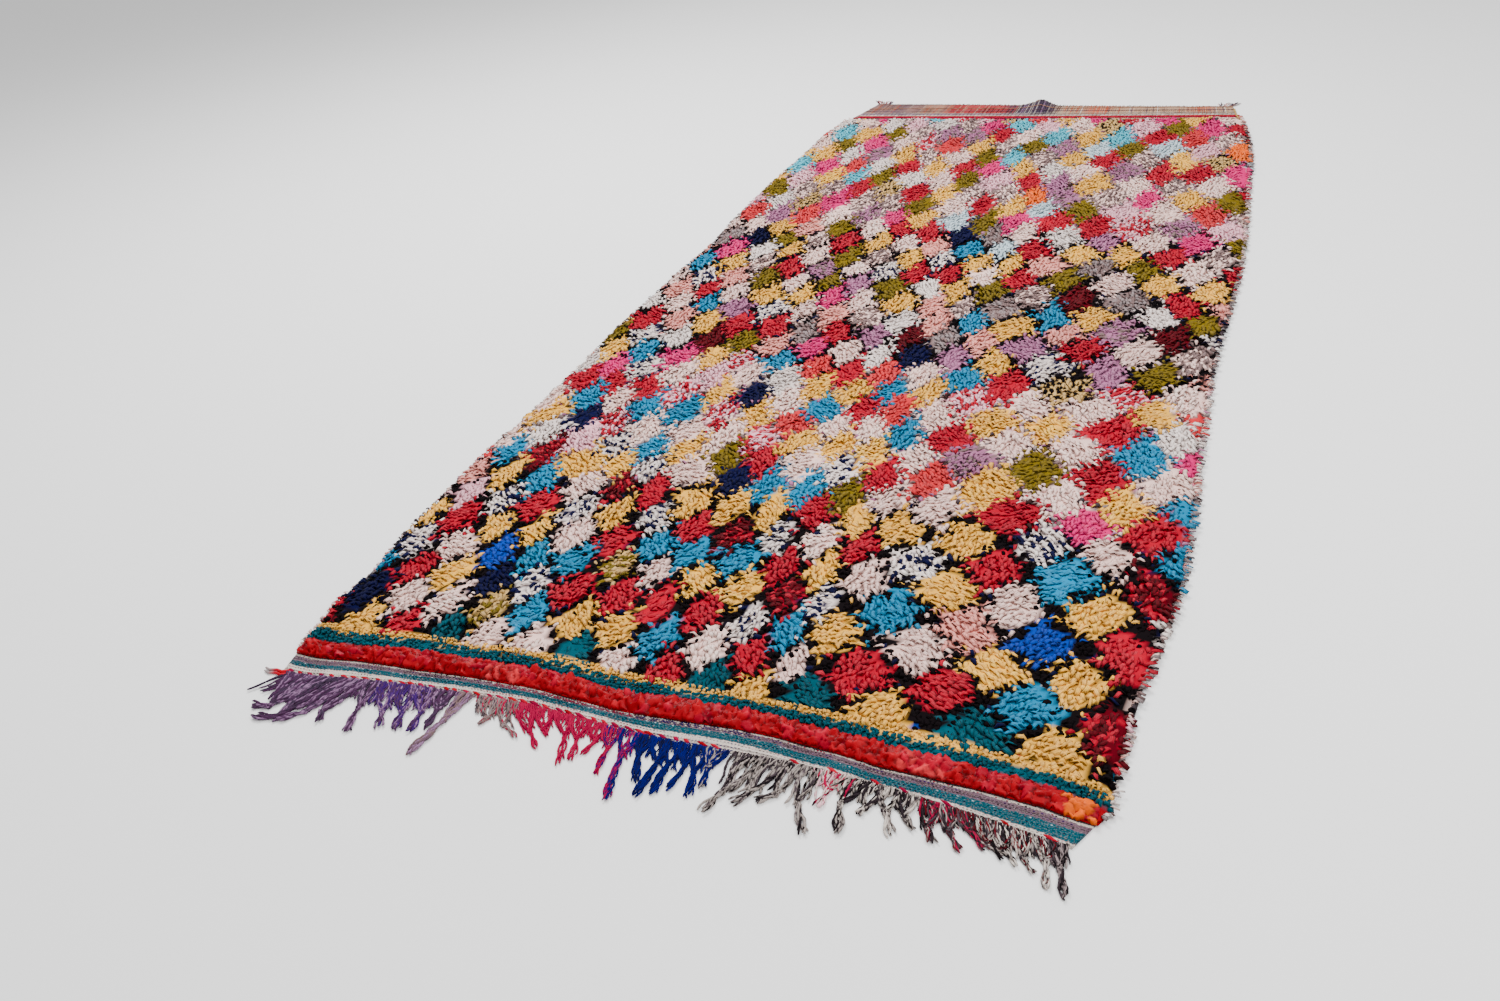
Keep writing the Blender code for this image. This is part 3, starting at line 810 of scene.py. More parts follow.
def rag_dyes(across, place):
    """Name of the dye, its tone and the heading of the rag at each knot."""
    ragged = dice.normal(0, 0.0030, (2, len(across)))
    one, two, edge, side, outward = lozenge(across + ragged[0], place + ragged[1])
    distance = from_hem(across, place)
    border = place + 0.03 * warp_across(across * 0.6, place * 0.3)
    start = np.where((side * NOTCHES) % 1.0 < NOTCH_SHARE, NOTCH_START, GAP_START)
    chance = dice.random(len(across))
    other = dice.random(len(across))
    names = []
    tones = np.ones(len(across))
    leans = np.zeros(len(across))
    for index in range(len(across)):
        dark = ZONES[zone_of(border[index])][1]
        name, tone, lean = LOZENGES.get((one[index], two[index]), ("cream", 1.0, 0.0))
        if distance[index] < TEAL_BAND[0]:
            name = "scarlet"
        elif distance[index] < TEAL_BAND[1]:
            name, tone = "teal", 1.1
        elif distance[index] < YELLOW_BAND[1]:
            name, tone = "yellow", 1.0
        elif edge[index] > start[index] and chance[index] < dark and place[index] < PILE_END - 0.05:
            name, tone = ("black" if other[index] < 0.97 else "navy"), 1.0
        elif edge[index] > 0.94 and chance[index] < 0.42 and dark < 0.5:
            name = ("dark_grey", "brown", "grey", "taupe", "lilac")[int(other[index] * 5)]
        elif name in MOTTLES:
            first, second, share = MOTTLES[name]
            name = second if other[index] < share else first
        names.append(name)
        tones[index] = tone
        leans[index] = -math.pi / 2 + 1.4 * lean
    headings = np.where(edge > 0.86, outward, leans)
    return np.array(names), tones, headings


def smooth_step(value):
    value = np.clip(value, 0, 1)
    return value * value * (3 - 2 * value)


def bed_height(across, place):
    """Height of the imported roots, falling away to the rim."""
    inset = np.minimum(across - left_edge(place), right_edge(place) - across)
    inset = np.minimum(inset, place - stripe_place(across, FLAT_END_WIDTH))
    inset = np.minimum(inset, pile_end(across) - place)
    rise = smooth_step((inset + 0.004) / RIM_DROP)
    return CLOTH_THICKNESS + 0.0008 + (BED_HEIGHT - CLOTH_THICKNESS) * rise


# Pile
KNOT_ACROSS = 0.0086
KNOT_ALONG = 0.0086
ROOT_DEPTH = 0.0035
lean_field = waves(8, 0.075)
height_field = waves(10, 0.13)


# Rows of small knots in the two narrow stripes: distance from the hem, dye
STRIPE_ROWS = (
    (0.0860, "teal"), (0.0910, "teal"), (0.0960, "teal"), (0.1005, "teal"), (0.1065, "yellow"),
    (0.1115, "yellow"),
)
STRIPE_STEP = 0.0066


def knot_places():
    """Roots of all the tufts: rows of knots, a little uneven; the stripes' rows come first."""
    all_across = []
    all_along = []
    for distance, _ in STRIPE_ROWS:
        left, right = float(left_edge(distance)) + 0.003, float(right_edge(distance)) - 0.006
        across = np.arange(left, right, STRIPE_STEP) + dice.uniform(0, STRIPE_STEP)
        all_across.append(across)
        all_along.append(stripe_place(across, distance))
    stripe_count = sum(map(len, all_across))
    for number, place in enumerate(np.arange(0.03, PILE_END + 0.04, KNOT_ALONG)):
        left = left_edge(place) + 0.003
        right = right_edge(place) - 0.003
        count = int((right - left) / KNOT_ACROSS)
        across = left + (np.arange(count) + 0.25 + 0.5 * (number % 2)) * (right - left) / count
        across = across[(from_hem(across, place) > YELLOW_BAND[1] + 0.001) & (place < pile_end(across))]
        all_across.append(across)
        all_along.append(np.full(len(across), place))
    return np.concatenate(all_across), np.concatenate(all_along), stripe_count


def make_rags(materials):
    """All the knotted rag tufts, sorted into one piece for each family of dyes."""
    across, along, stripe_count = knot_places()
    names, tones, heading = rag_dyes(across, along)
    count = len(across)
    stripe = np.arange(count) < stripe_count
    outline = names == "black"
    across = across + dice.normal(0, 0.0012, count)
    along = along + dice.normal(0, 0.0012, count) * np.where(stripe, 0.5, 1.0)
    heading = heading + 0.4 * lean_field(across, along) + dice.normal(0, 0.45, count)
    heading = np.where(stripe, 0.7 + dice.normal(0, 0.5, count), heading)
    from_left = across - left_edge(along)
    from_right = right_edge(along) - across
    heading = np.where(from_left < 0.010, math.pi + dice.normal(0, 0.55, count), heading)
    heading = np.where(from_right < 0.010, dice.normal(0, 0.55, count), heading)
    heading = np.where(along > pile_end(across) - 0.010, math.pi / 2 + dice.normal(0, 0.5, count), heading)
    rim = (from_left < 0.014) | (from_right < 0.012)
    length = dice.uniform(0.0135, 0.0215, count)
    length = np.where(outline, length * 0.72, length)
    length = np.where(from_left < 0.014, length * 0.7, length)
    length = np.where(stripe, length * 0.50, length)
    rise = dice.uniform(0.0048, 0.0082, count) + 0.0016 * height_field(across, along)
    rise = np.where(outline, rise * 0.78, rise)
    rise = np.where(rim, rise * 0.7, rise)
    width = dice.uniform(0.0060, 0.0100, count)
    width = np.where(stripe, width * 0.80, width)
    thickness = dice.uniform(0.0012, 0.0026, count)
    twist = dice.normal(0, 0.32, count)
    roots = np.stack([across, along, bed_height(across, along) - ROOT_DEPTH], 1)
    dye = np.array([linear(name) for name in names])
    faded = dice.uniform(0, 0.10, count)[:, None]
    dye = dye * (1 - faded) + dye.mean(axis=1)[:, None] * faded * 1.2
    dye = dye * (tones * dice.uniform(0.86, 1.14, count))[:, None]
    points, colours = tufts(roots, heading, length, rise, width, thickness, twist, dye)
    made = []
    for family, dyes in FAMILIES.items():
        own = np.isin(names, dyes)
        piece = tuft_piece(family, points[own], colours[own])
        made.append(dress(piece, materials[family], "rag_pile", "rag_pile"))
    return made


BED_STEP = 0.0110
BED_SHADE = 0.85


def make_bed(material):
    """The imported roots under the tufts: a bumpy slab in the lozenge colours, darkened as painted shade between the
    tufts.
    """
    rows = int((PILE_END - FLAT_END_WIDTH) / BED_STEP)
    columns = int(WIDTH / BED_STEP)
    shares = np.linspace(0, 1, columns + 1)
    lines = []
    for share in np.linspace(0, 1, rows + 1):
        middle = FLAT_END_WIDTH + (PILE_END - FLAT_END_WIDTH) * share
        left = left_edge(middle)
        across = left + (right_edge(middle) - left) * shares
        near = stripe_place(across, FLAT_END_WIDTH)
        lines.append(np.stack([across, near + (pile_end(across) - near) * share], 1))
    grid = np.array(lines)
    flat = grid.reshape(-1, 2)
    names, tones, _ = rag_dyes(flat[:, 0], flat[:, 1])
    # Painted shade: the lozenge colours scaled by BED_SHADE, for the shade down between the tufts
    dye = np.array([linear(name) for name in names]) * BED_SHADE * tones[:, None]
    height = bed_height(flat[:, 0], flat[:, 1]) + dice.uniform(-0.0016, 0.0012, len(flat))
    top = np.dstack([grid, height.reshape(grid.shape[:2])])
    low = np.dstack([grid, np.full(grid.shape[:2], CLOTH_THICKNESS + 0.0002)])
    return dress(slab("pile_bed", top, low, dye, True, False), material, "rag_pile", "rag_pile")


# Stretches of the red band in other dyes: start, end, dyes
BAND_PATCHES = (
    (-0.345, -0.235, ("coral", "red", "scarlet")),
    (0.375, 0.450, ("coral", "coral", "red")),
    (0.600, 0.638, ("orange", "orange")),
)


BAND_COLUMNS = 420
BAND_ROWS = 12


def make_band(material):
    """Wide satin rags packed side by side in the red end band: low pillows with a sunken crease between each two,
    where their colour is darkened as painted shade.
    """
    left, right = float(left_edge(0.06)) + 0.004, float(right_edge(0.05)) - 0.004
    shares = np.linspace(0, 1, BAND_COLUMNS + 1)
    depth = RED_BAND[1] - RED_BAND[0]
    lines = []
    for share in np.linspace(0, 1, BAND_ROWS + 1):
        across = left + (right - left) * shares
        across = across + (dice.uniform(-0.0013, 0.0013, len(across)) if 0 < share < 1 else 0)
        uneven = dice.uniform(-0.0024, 0.0024, len(across)) * (1.0 if share in (0, 1) else 0.5)
        lines.append(np.stack([across, stripe_place(across, RED_BAND[0] + depth * share) + uneven], 1))
    grid = np.array(lines)
    flat = grid.reshape(-1, 2)
    seeds = []
    place = left
    while place < right + 0.01:
        for share in (0.15, 0.5, 0.85):
            across = place + share * 0.012 + dice.uniform(-0.005, 0.005)
            along = float(stripe_place(np.array([across]), RED_BAND[0] + depth * share)[0])
            seeds.append((across, along + dice.uniform(-0.003, 0.003)))
        place += dice.uniform(0.011, 0.018)
    seeds = np.array(seeds)
    tones = dice.uniform(0.52, 0.98, len(seeds))
    rags = []
    for across, _ in seeds:
        dyes = ("scarlet", "scarlet", "scarlet", "scarlet", "red")
        for start, end, own in BAND_PATCHES:
            if start < across < end:
                dyes = own
        rags.append(linear(dyes[dice.integers(0, len(dyes))]))
    slants = dice.uniform(0, math.pi, len(seeds))
    away = flat[:, None, :] - seeds[None]
    lengthwise = away[..., 0] * np.cos(slants) + away[..., 1] * np.sin(slants)
    crosswise = away[..., 1] * np.cos(slants) - away[..., 0] * np.sin(slants)
    away = np.hypot(lengthwise / 0.0130, crosswise / 0.0050)
    nearest = away.argmin(axis=1)
    ordered = np.sort(away, axis=1)
    crease = 1 - smooth_step((ordered[:, 1] - ordered[:, 0]) / 0.40)
    # Painted shade: each rag's colour is darkened towards the crease between it and its neighbour
    dye = np.array(rags)[nearest] * (tones[nearest] * (1 - 0.72 * crease))[:, None]
    height = bed_height(flat[:, 0], flat[:, 1]) + 0.0046 - 0.0034 * crease
    tilt = np.take_along_axis(crosswise, nearest[:, None], 1)[:, 0] * np.take(dice.uniform(-0.8, 0.8, len(seeds)), nearest)
    height = height + (tones[nearest] - 0.70) * 0.008 + tilt + dice.uniform(-0.0005, 0.0005, len(flat))
    top = np.dstack([grid, height.reshape(grid.shape[:2])])
    low = np.dstack([grid, np.full(grid.shape[:2], CLOTH_THICKNESS + 0.0002)])
    return dress(slab("satin_band", top, low, dye, True, False), material, "rag_pile", "rag_pile")


def make_selvedges(material):
    """Folded rag wefts that stick out of both sides of the cloth."""
    points = []
    colours = []
    runs = ("cream", "grey", "pink", "cream", "dark_grey", "taupe", "grey", "salmon", "white")
    for sign, edge in ((-1, left_edge), (1, right_edge)):
        along = np.arange(0.055, float(pile_end(edge(PILE_END))) + 0.02, 0.0052)
        count = len(along)
        along = along + dice.normal(0, 0.0015, count)
        across = edge(along) - sign * 0.002
        heading = (math.pi if sign < 0 else 0.0) + dice.normal(0, 0.5, count)
        length = dice.uniform(0.004, 0.011, count) if sign < 0 else dice.uniform(0.007, 0.017, count)
        rise = dice.uniform(-0.0005, 0.006, count)
        width = dice.uniform(0.004, 0.007, count)
        thickness = dice.uniform(0.0012, 0.002, count)
        root_height = dice.uniform(0.0026, 0.008, count)
        roots = np.stack([across, along, root_height], 1)
        run = (along / 0.11 + 2 * waves(20 + sign, 0.4)(across, along)).astype(int) % len(runs)
        stray = dice.random(count) < 0.3
        run = np.where(stray, dice.integers(0, len(runs), count), run)
        dye = np.array([linear(runs[number]) for number in run]) * dice.uniform(0.75, 1.1, count)[:, None]
        own = tufts(roots, heading, length, rise, width, thickness, dice.normal(0, 0.5, count), dye)
        points.append(own[0])
        colours.append(own[1])
    piece = tuft_piece("selvedge_rags", np.concatenate(points), np.concatenate(colours))
    return dress(piece, material, "rag_pile", "rag_pile")


# Ground cloth


def make_cloth(material):
    """The woven sheet with both flat-woven ends, its hems and the buckle at the far hem."""
    columns = 132
    shares = np.linspace(0, 1, columns + 1)
    left, right = NEAR_HEM[0][0], NEAR_HEM[-1][0]
    lines = []
    for distance in np.linspace(0, 0.075, 13):
        grown = distance / 0.075
        wide_left = left_edge(0.07) * grown + left * (1 - grown)
        wide_right = right_edge(0.07) * grown + right * (1 - grown)
        spread = wide_left + (wide_right - wide_left) * shares
        lines.append(np.stack([spread, near_hem(left + (right - left) * shares) + distance], 1))
    for along in np.linspace(0.14, 2.80, 14):
        spread = left_edge(along) + (right_edge(along) - left_edge(along)) * shares
        lines.append(np.stack([spread, np.full(columns + 1, along)], 1))
    start = left_edge(2.84) + (right_edge(2.84) - left_edge(2.84)) * shares
    end = FAR_HEM[0][0] + (FAR_HEM[-1][0] - FAR_HEM[0][0]) * shares
    for share in np.linspace(0, 1, 19):
        across = start + (end - start) * share
        lines.append(np.stack([across, 2.84 + (far_hem(end) - 2.84) * share], 1))
    grid = np.array(lines)
    across, along = grid[..., 0], grid[..., 1]
    lift = fold_lift(across, along)
    rib = 0.0004 * np.sin(along * math.tau / 0.0125)
    slack = 0.0006 * waves(30, 0.09)(across, along)
    ends = (along - near_hem(across) < 0.06) | (along > 2.83)
    top_height = lift + CLOTH_THICKNESS - 0.0006 + np.where(ends, rib + slack, 0)
    piece = slab("woven_ground", np.dstack([grid, top_height]), np.dstack([grid, lift]))
    twice_across = np.tile(across.ravel(), 2)
    twice_along = np.tile(along.ravel(), 2)
    for name, values in (
        ("across", twice_across),
        ("near_hem", from_hem(twice_across, twice_along)),
        ("far_hem", far_hem(twice_across) - twice_along),
    ):
        layer = piece.data.attributes.new(name, "FLOAT", "POINT")
        layer.data.foreach_set("value", values.astype(np.float32))
    return dress(piece, material, "ground_weave", "ground_cloth")


# Near end stripes: distance from the hem at which each starts, dye
NEAR_STRIPES = (
    (0.0000, "bone"),
    (0.0030, "ply_grey"),
    (0.0050, "bone"),
    (0.0092, "taupe"),
    (0.0100, "teal"),
    (0.0220, "mauve_grey"),
    (0.0270, "charcoal"),
    (0.0290, "mauve_grey"),
    (0.0380, "bone"),
    (0.0430, "dark_grey"),
)
# Far end stretches: place across at which each starts, dye
FAR_STRETCHES = (
    (-0.66, "umber"),
    (-0.52, "mauve_grey"),
    (-0.42, "umber"),
    (-0.36, "umber"),
    (-0.30, "brick"),
    (-0.16, "brick"),
    (-0.11, "dusk"),
    (0.00, "dusk"),
    (0.05, "straw"),
    (0.18, "rust"),
    (0.21, "straw"),
    (0.40, "straw"),
    (0.47, "rust"),
    (0.53, "straw"),
)


def stripes(add, value, table, span, soft=False):
    """A ramp that gives each stretch of a table its own dye."""
    low, high = span
    fitted = add("ShaderNodeMapRange", Value=value)
    fitted.inputs["From Min"].default_value = low
    fitted.inputs["From Max"].default_value = high
    ramp = add("ShaderNodeValToRGB", Fac=fitted.outputs[0])
    ramp.color_ramp.interpolation = "EASE" if soft else "CONSTANT"
    points = ramp.color_ramp.elements
    for number, (start, dye) in enumerate(table):
        place = (start - low) / (high - low)
        if number < 2:
            point = points[number]
            point.position = place
        else:
            point = points.new(place)
        point.color = (*linear(dye), 1.0)
    return ramp.outputs["Color"]


def cloth_material():
    """Flat weave: stripes that follow the near hem, dyed stretches at the far end, weft ribs."""
    material, tree, shader, add = blank("flat_weave")
    place = add("ShaderNodeTexCoord").outputs["Object"]
    across = add("ShaderNodeAttribute", {"attribute_name": "across"}).outputs["Fac"]
    near = add("ShaderNodeAttribute", {"attribute_name": "near_hem"}).outputs["Fac"]
    far = add("ShaderNodeAttribute", {"attribute_name": "far_hem"}).outputs["Fac"]
    slub = add("ShaderNodeTexNoise", Vector=place, Scale=260.0, Detail=2.0, Roughness=0.6)
    shift = add("ShaderNodeMath", {"operation": "MULTIPLY_ADD"}, i0=slub.outputs["Fac"], i1=0.005, i2=-0.0025)
    uneven = add("ShaderNodeMath", {"operation": "ADD"}, i0=near, i1=shift.outputs[0])
    near_dye = stripes(add, uneven.outputs[0], NEAR_STRIPES, (0.0, 0.08))
    wander = add("ShaderNodeTexNoise", Vector=place, Scale=14.0, Detail=3.0, Roughness=0.6)
    moved = add("ShaderNodeMath", {"operation": "MULTIPLY_ADD"}, i0=wander.outputs["Fac"], i1=0.05, i2=-0.025)
    shifted = add("ShaderNodeMath", {"operation": "ADD"}, i0=across, i1=moved.outputs[0])
    far_dye = stripes(add, shifted.outputs[0], FAR_STRETCHES, (-0.66, 0.62), True)
    at_far = add("ShaderNodeMath", {"operation": "LESS_THAN"}, i0=far, i1=0.25)
    dye = add("ShaderNodeMix", {"data_type": "RGBA"}, i0=at_far.outputs[0], i6=near_dye, i7=far_dye)
    speck = add("ShaderNodeTexNoise", Vector=place, Scale=420.0, Detail=2.0, Roughness=0.7)
    speckled = add("ShaderNodeMapRange", Value=speck.outputs["Fac"])
    speckled.inputs["From Min"].default_value = 0.54
    speckled.inputs["From Max"].default_value = 0.62
    speckled.inputs["To Max"].default_value = 0.34
    warp_dye = (*linear("ply_grey"), 1.0)
    mixed = add("ShaderNodeMix", {"data_type": "RGBA"}, i0=speckled.outputs[0], i6=dye.outputs[2], i7=warp_dye)
    tone = add("ShaderNodeMapRange", Value=wander.outputs["Fac"])
    tone.inputs["To Min"].default_value = 0.58
    tone.inputs["To Max"].default_value = 1.00
    shaded = add("ShaderNodeVectorMath", {"operation": "SCALE"}, i0=mixed.outputs[2], Scale=tone.outputs[0])
    tree.links.new(shaded.outputs[0], shader.inputs["Base Color"])
    rib = add("ShaderNodeTexWave", {"bands_direction": "Y"}, Vector=place, Scale=52.0, Distortion=2.2)
    rib.inputs["Detail"].default_value = 2.0
    rib.inputs["Detail Scale"].default_value = 3.0
    ticks = add("ShaderNodeTexWave", {"bands_direction": "X"}, Vector=place, Scale=70.0, Distortion=1.5)
    height = add("ShaderNodeMath", {"operation": "MULTIPLY"}, i0=rib.outputs["Fac"], i1=ticks.outputs["Fac"])
    relief = add("ShaderNodeBump", Height=height.outputs[0], Strength=0.9, Distance=0.0016)
    tree.links.new(relief.outputs[0], shader.inputs["Normal"])
    rough = add("ShaderNodeMapRange", Value=slub.outputs["Fac"])
    rough.inputs["To Min"].default_value = 0.82
    rough.inputs["To Max"].default_value = 1.0
    tree.links.new(rough.outputs[0], shader.inputs["Roughness"])
    shader.inputs["Sheen Weight"].default_value = 0.04
    shader.inputs["Specular IOR Level"].default_value = 0.08
    return material


# Fringe
PLY_STEP = 0.0042
YARN_SIDES = 6


def strand_path(start, end, bow, height, step=PLY_STEP, curl=0.0):
    """A strand between two places on the floor, bowed sideways and lying at a height."""
    start = np.array(start[:2], float)
    ahead = np.array(end[:2], float) - start
    length = float(np.hypot(*ahead)) + 1e-9
    count = max(4, int(length / step) + 1)
    shares = np.linspace(0, 1, count)
    side = np.array([-ahead[1], ahead[0]]) / length
    turn = dice.uniform(0, math.tau)
    offset = bow * np.sin(shares * math.pi) + curl * (np.sin(shares * 7 + turn) - math.sin(turn)) * shares
    flat = start + ahead * shares[:, None] + side * offset[:, None]
    lift = height + 0.0006 * np.sin(shares * 9 + turn)
    return np.column_stack([flat, np.maximum(lift, height * 0.8)])


def yarn_tube(heap, path, radius, first, second, fade=1.0):
    """A plied yarn: a grooved tube whose two dyes wind round it."""
    count = len(path)
    wind = (np.arange(YARN_SIDES)[None] + np.arange(count)[:, None]) % 3
    taper = np.ones(count)
    taper[-1] = 0.55
    radii = radius * taper[:, None] * np.where(wind == 0, 0.76, 1.06)
    tone = dice.uniform(0.85, 1.12)
    turned = dice.random(wind.shape) < 0.5
    dye = np.where(turned[..., None], linear(second), linear(first)) * tone
    # Painted shade: the sides that sit in the grooves between the plies are darker
    dye = dye * np.where(wind == 0, 0.7, 1.0)[..., None] * fade
    tube(heap, path, radii, dye, YARN_SIDES)


def bundle(heap, start, end, spread, yarns, radius, dyes, bow=0.0, frayed=False):
    """Plied yarns laid together from a root or knot to a knot or tip."""
    centre = strand_path(start, end, bow, 0.0, PLY_STEP)
    count = len(centre)
    shares = np.linspace(0, 1, count)
    ahead = np.gradient(centre[:, :2], axis=0)
    ahead /= np.linalg.norm(ahead, axis=1)[:, None] + 1e-12
    side = np.stack([-ahead[:, 1], ahead[:, 0]], 1)
    length = float(np.hypot(*(centre[-1, :2] - centre[0, :2])))
    for number in range(yarns):
        phase = math.tau * (number + dice.uniform(-0.2, 0.2)) / yarns
        angle = phase + math.tau * length / 0.06 * shares
        wide = spread * (0.8 + (0.7 * shares if frayed else 0.0))
        path = centre.copy()
        path[:, :2] += side * (np.cos(angle) * wide)[:, None]
        path[:, 2] = radius * 1.05 + (1 + np.sin(angle)) * 0.5 * min(0.0026, spread)
        path[:, :2] += dice.normal(0, 0.0003, (count, 2))
        kept = count if not frayed else max(4, int(count * dice.uniform(0.82, 1.0)))
        first, second = dice.choice(dyes, 2, replace=False)
        yarn_tube(heap, path[:kept], radius * dice.uniform(0.88, 1.08), first, second)


def knot_lump(heap, centre, radius, dyes):
    """A yarn knot: turns wound over each other."""
    for turn in range(3):
        tilt = dice.uniform(0, math.pi)
        angles = np.linspace(0, math.tau * 0.94, 9)
        wide = np.stack([np.cos(angles) * radius, np.sin(angles) * radius * 0.55], 1)
        spin = np.array([[math.cos(tilt), math.sin(tilt)], [-math.sin(tilt), math.cos(tilt)]])
        path = np.column_stack([wide @ spin + np.array(centre[:2]), np.full(9, 0.0020 + 0.0010 * turn)])
        yarn_tube(heap, path, 0.0018, *dice.choice(dyes, 2, replace=False))


def hairs(heap, left, right, spacing, reach, radius, lean=0.0):
    """Short matted threads along a stretch of the hem."""
    for place in np.arange(left, right, spacing):
        across = place + dice.uniform(-0.001, 0.001)
        start = (across, float(near_hem(across)) + 0.003)
        grown = dice.uniform(0.4, 1.0) * reach
        end = (across + lean * grown + dice.uniform(-0.006, 0.006), start[1] - 0.003 - grown)
        path = strand_path(start, end, dice.uniform(-0.003, 0.003), radius * 1.6, 0.004, 0.0016)
        path[0, 2] = path[1, 2] = CLOTH_THICKNESS - radius * 0.3
        path[2:, 2] += dice.uniform(0, 0.0016)
        taper = np.full(len(path), radius)
        taper[-1] *= 0.5
        dyes = fringe_dyes(place)
        tube(heap, path, taper, linear(dyes[dice.integers(0, len(dyes))]) * dice.uniform(0.75, 1.15), 4)


# Fringe runs: piece, node, slot, left, right, knots, yarn radius, yarns in a strand, spread of a
# strand, and for the matted threads at the hem their spacing, reach, radius and lean
FRINGES = (
    ("yarn_plum", "fringe_plum", "plum_yarn", -0.632, -0.292, PLUM_KNOTS,
     0.0021, 3, 0.0030, 0.0034, 0.018, 0.0015, -0.35),
    ("yarn_raspberry", "fringe_raspberry", "raspberry_yarn", -0.288, -0.038, RASPBERRY_KNOTS,
     0.0016, 3, 0.0023, 0.0026, 0.020, 0.0010, 0.25),
    ("yarn_blue", "fringe_blue", "blue_yarn", -0.034, 0.138, BLUE_KNOTS,
     0.0016, 4, 0.0026, 0.0026, 0.020, 0.0011, 0.1),
    ("yarn_grey", "fringe_grey", "grey_yarn", 0.142, 0.412, GREY_KNOTS,
     0.0020, 3, 0.0030, 0.0015, 0.018, 0.0013, -0.1),
    ("yarn_charcoal", "fringe_charcoal", "charcoal_yarn", 0.416, 0.614, CHARCOAL_KNOTS,
     0.0018, 3, 0.0028, 0.0011, 0.028, 0.0012, 0.3),
)
# Dyes of the fringe along the hem: place across at which each stretch starts, dyes
FRINGE_DYES = (
    (-0.70, ("plum", "plum", "lilac_yarn", "dusk")),
    (-0.462, ("violet", "violet", "plum", "lilac_yarn")),
    (-0.365, ("plum", "plum", "lilac_yarn", "dusk")),
    (-0.318, ("taupe", "lilac_yarn", "mauve_grey")),
    (-0.290, ("taupe", "taupe", "grey", "dark_grey", "taupe", "raspberry")),
    (-0.215, ("raspberry", "raspberry", "raspberry", "raspberry")),
    (-0.060, ("raspberry", "raspberry", "ultramarine")),
    (-0.036, ("ultramarine", "ultramarine", "raspberry")),
    (-0.008, ("ultramarine", "ultramarine", "ultramarine", "navy")),
    (0.100, ("ultramarine", "navy", "ultramarine", "ply_grey")),
    (0.140, ("ply_grey", "black", "ply_grey", "charcoal", "dark_grey")),
    (0.262, ("ply_grey", "bone", "black", "raspberry", "pink", "raspberry")),
    (0.325, ("ply_grey", "black", "charcoal", "charcoal", "bone")),
    (0.414, ("charcoal", "black", "charcoal", "dark_grey", "ply_grey", "maroon", "raspberry")),
    (0.480, ("charcoal", "black", "ply_grey", "bone", "maroon", "dark_grey", "charcoal", "black")),
    (0.585, ("charcoal", "black", "dark_grey", "grey")),
)


def fringe_dyes(across):
    return [row[1] for row in FRINGE_DYES if row[0] <= across][-1]


# Matted stretches of fringe: piece, left, right, spacing, reach, thread radius, lean
FRINGE_MATS = (
    ("yarn_plum", -0.625, -0.500, 0.0026, 0.056, 0.0017, -0.75),
    ("yarn_plum", -0.500, -0.350, 0.0022, 0.052, 0.0016, 0.10),
    ("yarn_raspberry", -0.284, -0.205, 0.0011, 0.036, 0.0013, 0.35),
    ("yarn_raspberry", -0.205, -0.045, 0.0034, 0.036, 0.0010, 0.45),
    ("yarn_blue", -0.010, 0.115, 0.0026, 0.034, 0.0013, 0.10),
    ("yarn_grey", 0.150, 0.410, 0.0026, 0.022, 0.0014, -0.10),
    ("yarn_charcoal", 0.418, 0.606, 0.0013, 0.034, 0.0014, 0.40),
    ("yarn_charcoal", 0.545, 0.612, 0.0020, 0.040, 0.0014, 0.20),
)

# Curtain of strands between the hem and the knots: spacing, share of the way they reach, side
# swing that makes the net, yarns in a strand, yarn radius
CURTAINS = {
    "yarn_plum": (0.0088, 0.98, 0.007, 2, 0.0023),
    "yarn_raspberry": (0.0070, 1.20, 0.013, 1, 0.0014),
    "yarn_blue": (0.0066, 1.30, 0.012, 2, 0.0014),
    "yarn_grey": (0.0060, 1.15, 0.013, 1, 0.0020),
    "yarn_charcoal": (0.0048, 1.25, 0.010, 1, 0.0017),
}


def curtain(heap, left, right, knots, spacing, reach, swing, yarns, radius):
    """Strands from the hem towards the line of knots, swung to both sides like a net."""
    middles = column_of(knots, 0)
    for number, place in enumerate(np.arange(left + 0.004, right - 0.003, spacing)):
        root = (place, float(near_hem(place)) + 0.002)
        line = np.array([np.interp(place, middles, column_of(knots, column)) for column in (2, 3)])
        share = reach * dice.uniform(0.78, 1.08)
        end = np.array(root) + (line - np.array(root)) * share
        end[0] = np.clip(end[0] + (1 if number % 2 else -1) * swing * dice.uniform(0.5, 1.0), left - 0.06, right)
        end[1] = min(end[1], root[1] - 0.012)
        bundle(heap, root, end, radius * 0.9, yarns, radius, fringe_dyes(place), dice.uniform(-0.004, 0.004), True)


def make_fringe(name, node, slot, left, right, knots, radius, yarns, spread, spacing, reach,
                hair_radius, lean, material):
    """One run of fringe: matted threads at the hem, strands looped to knots, and loose tails."""
    heap = Heap()
    hairs(heap, left, right, spacing, reach, hair_radius, lean)
    for piece, *mat in FRINGE_MATS:
        if piece == name:
            hairs(heap, *mat)
    curtain(heap, left, right, knots, *CURTAINS[name])
    for middle, wide, knot_across, knot_along, tip_across, tip_along in knots:
        knot = (knot_across, knot_along)
        dyes = fringe_dyes(middle)
        for side in (-0.5, 0.5):
            across = middle + side * wide
            root = (across, float(near_hem(across)) + 0.002)
            bundle(heap, root, knot, spread, yarns, radius, dyes, side * 0.007)
        knot_lump(heap, knot, spread * 1.5, dyes)
        for shift in (-0.5, 0.0, 0.5):
            tip = (tip_across + shift * spread * 2.6, tip_along + abs(shift) * dice.uniform(0, 0.012))
            bundle(heap, knot, tip, spread, max(2, yarns - 1), radius, dyes, dice.uniform(-0.003, 0.003), True)
    return dress(heap.piece(name, True), material, slot, node)


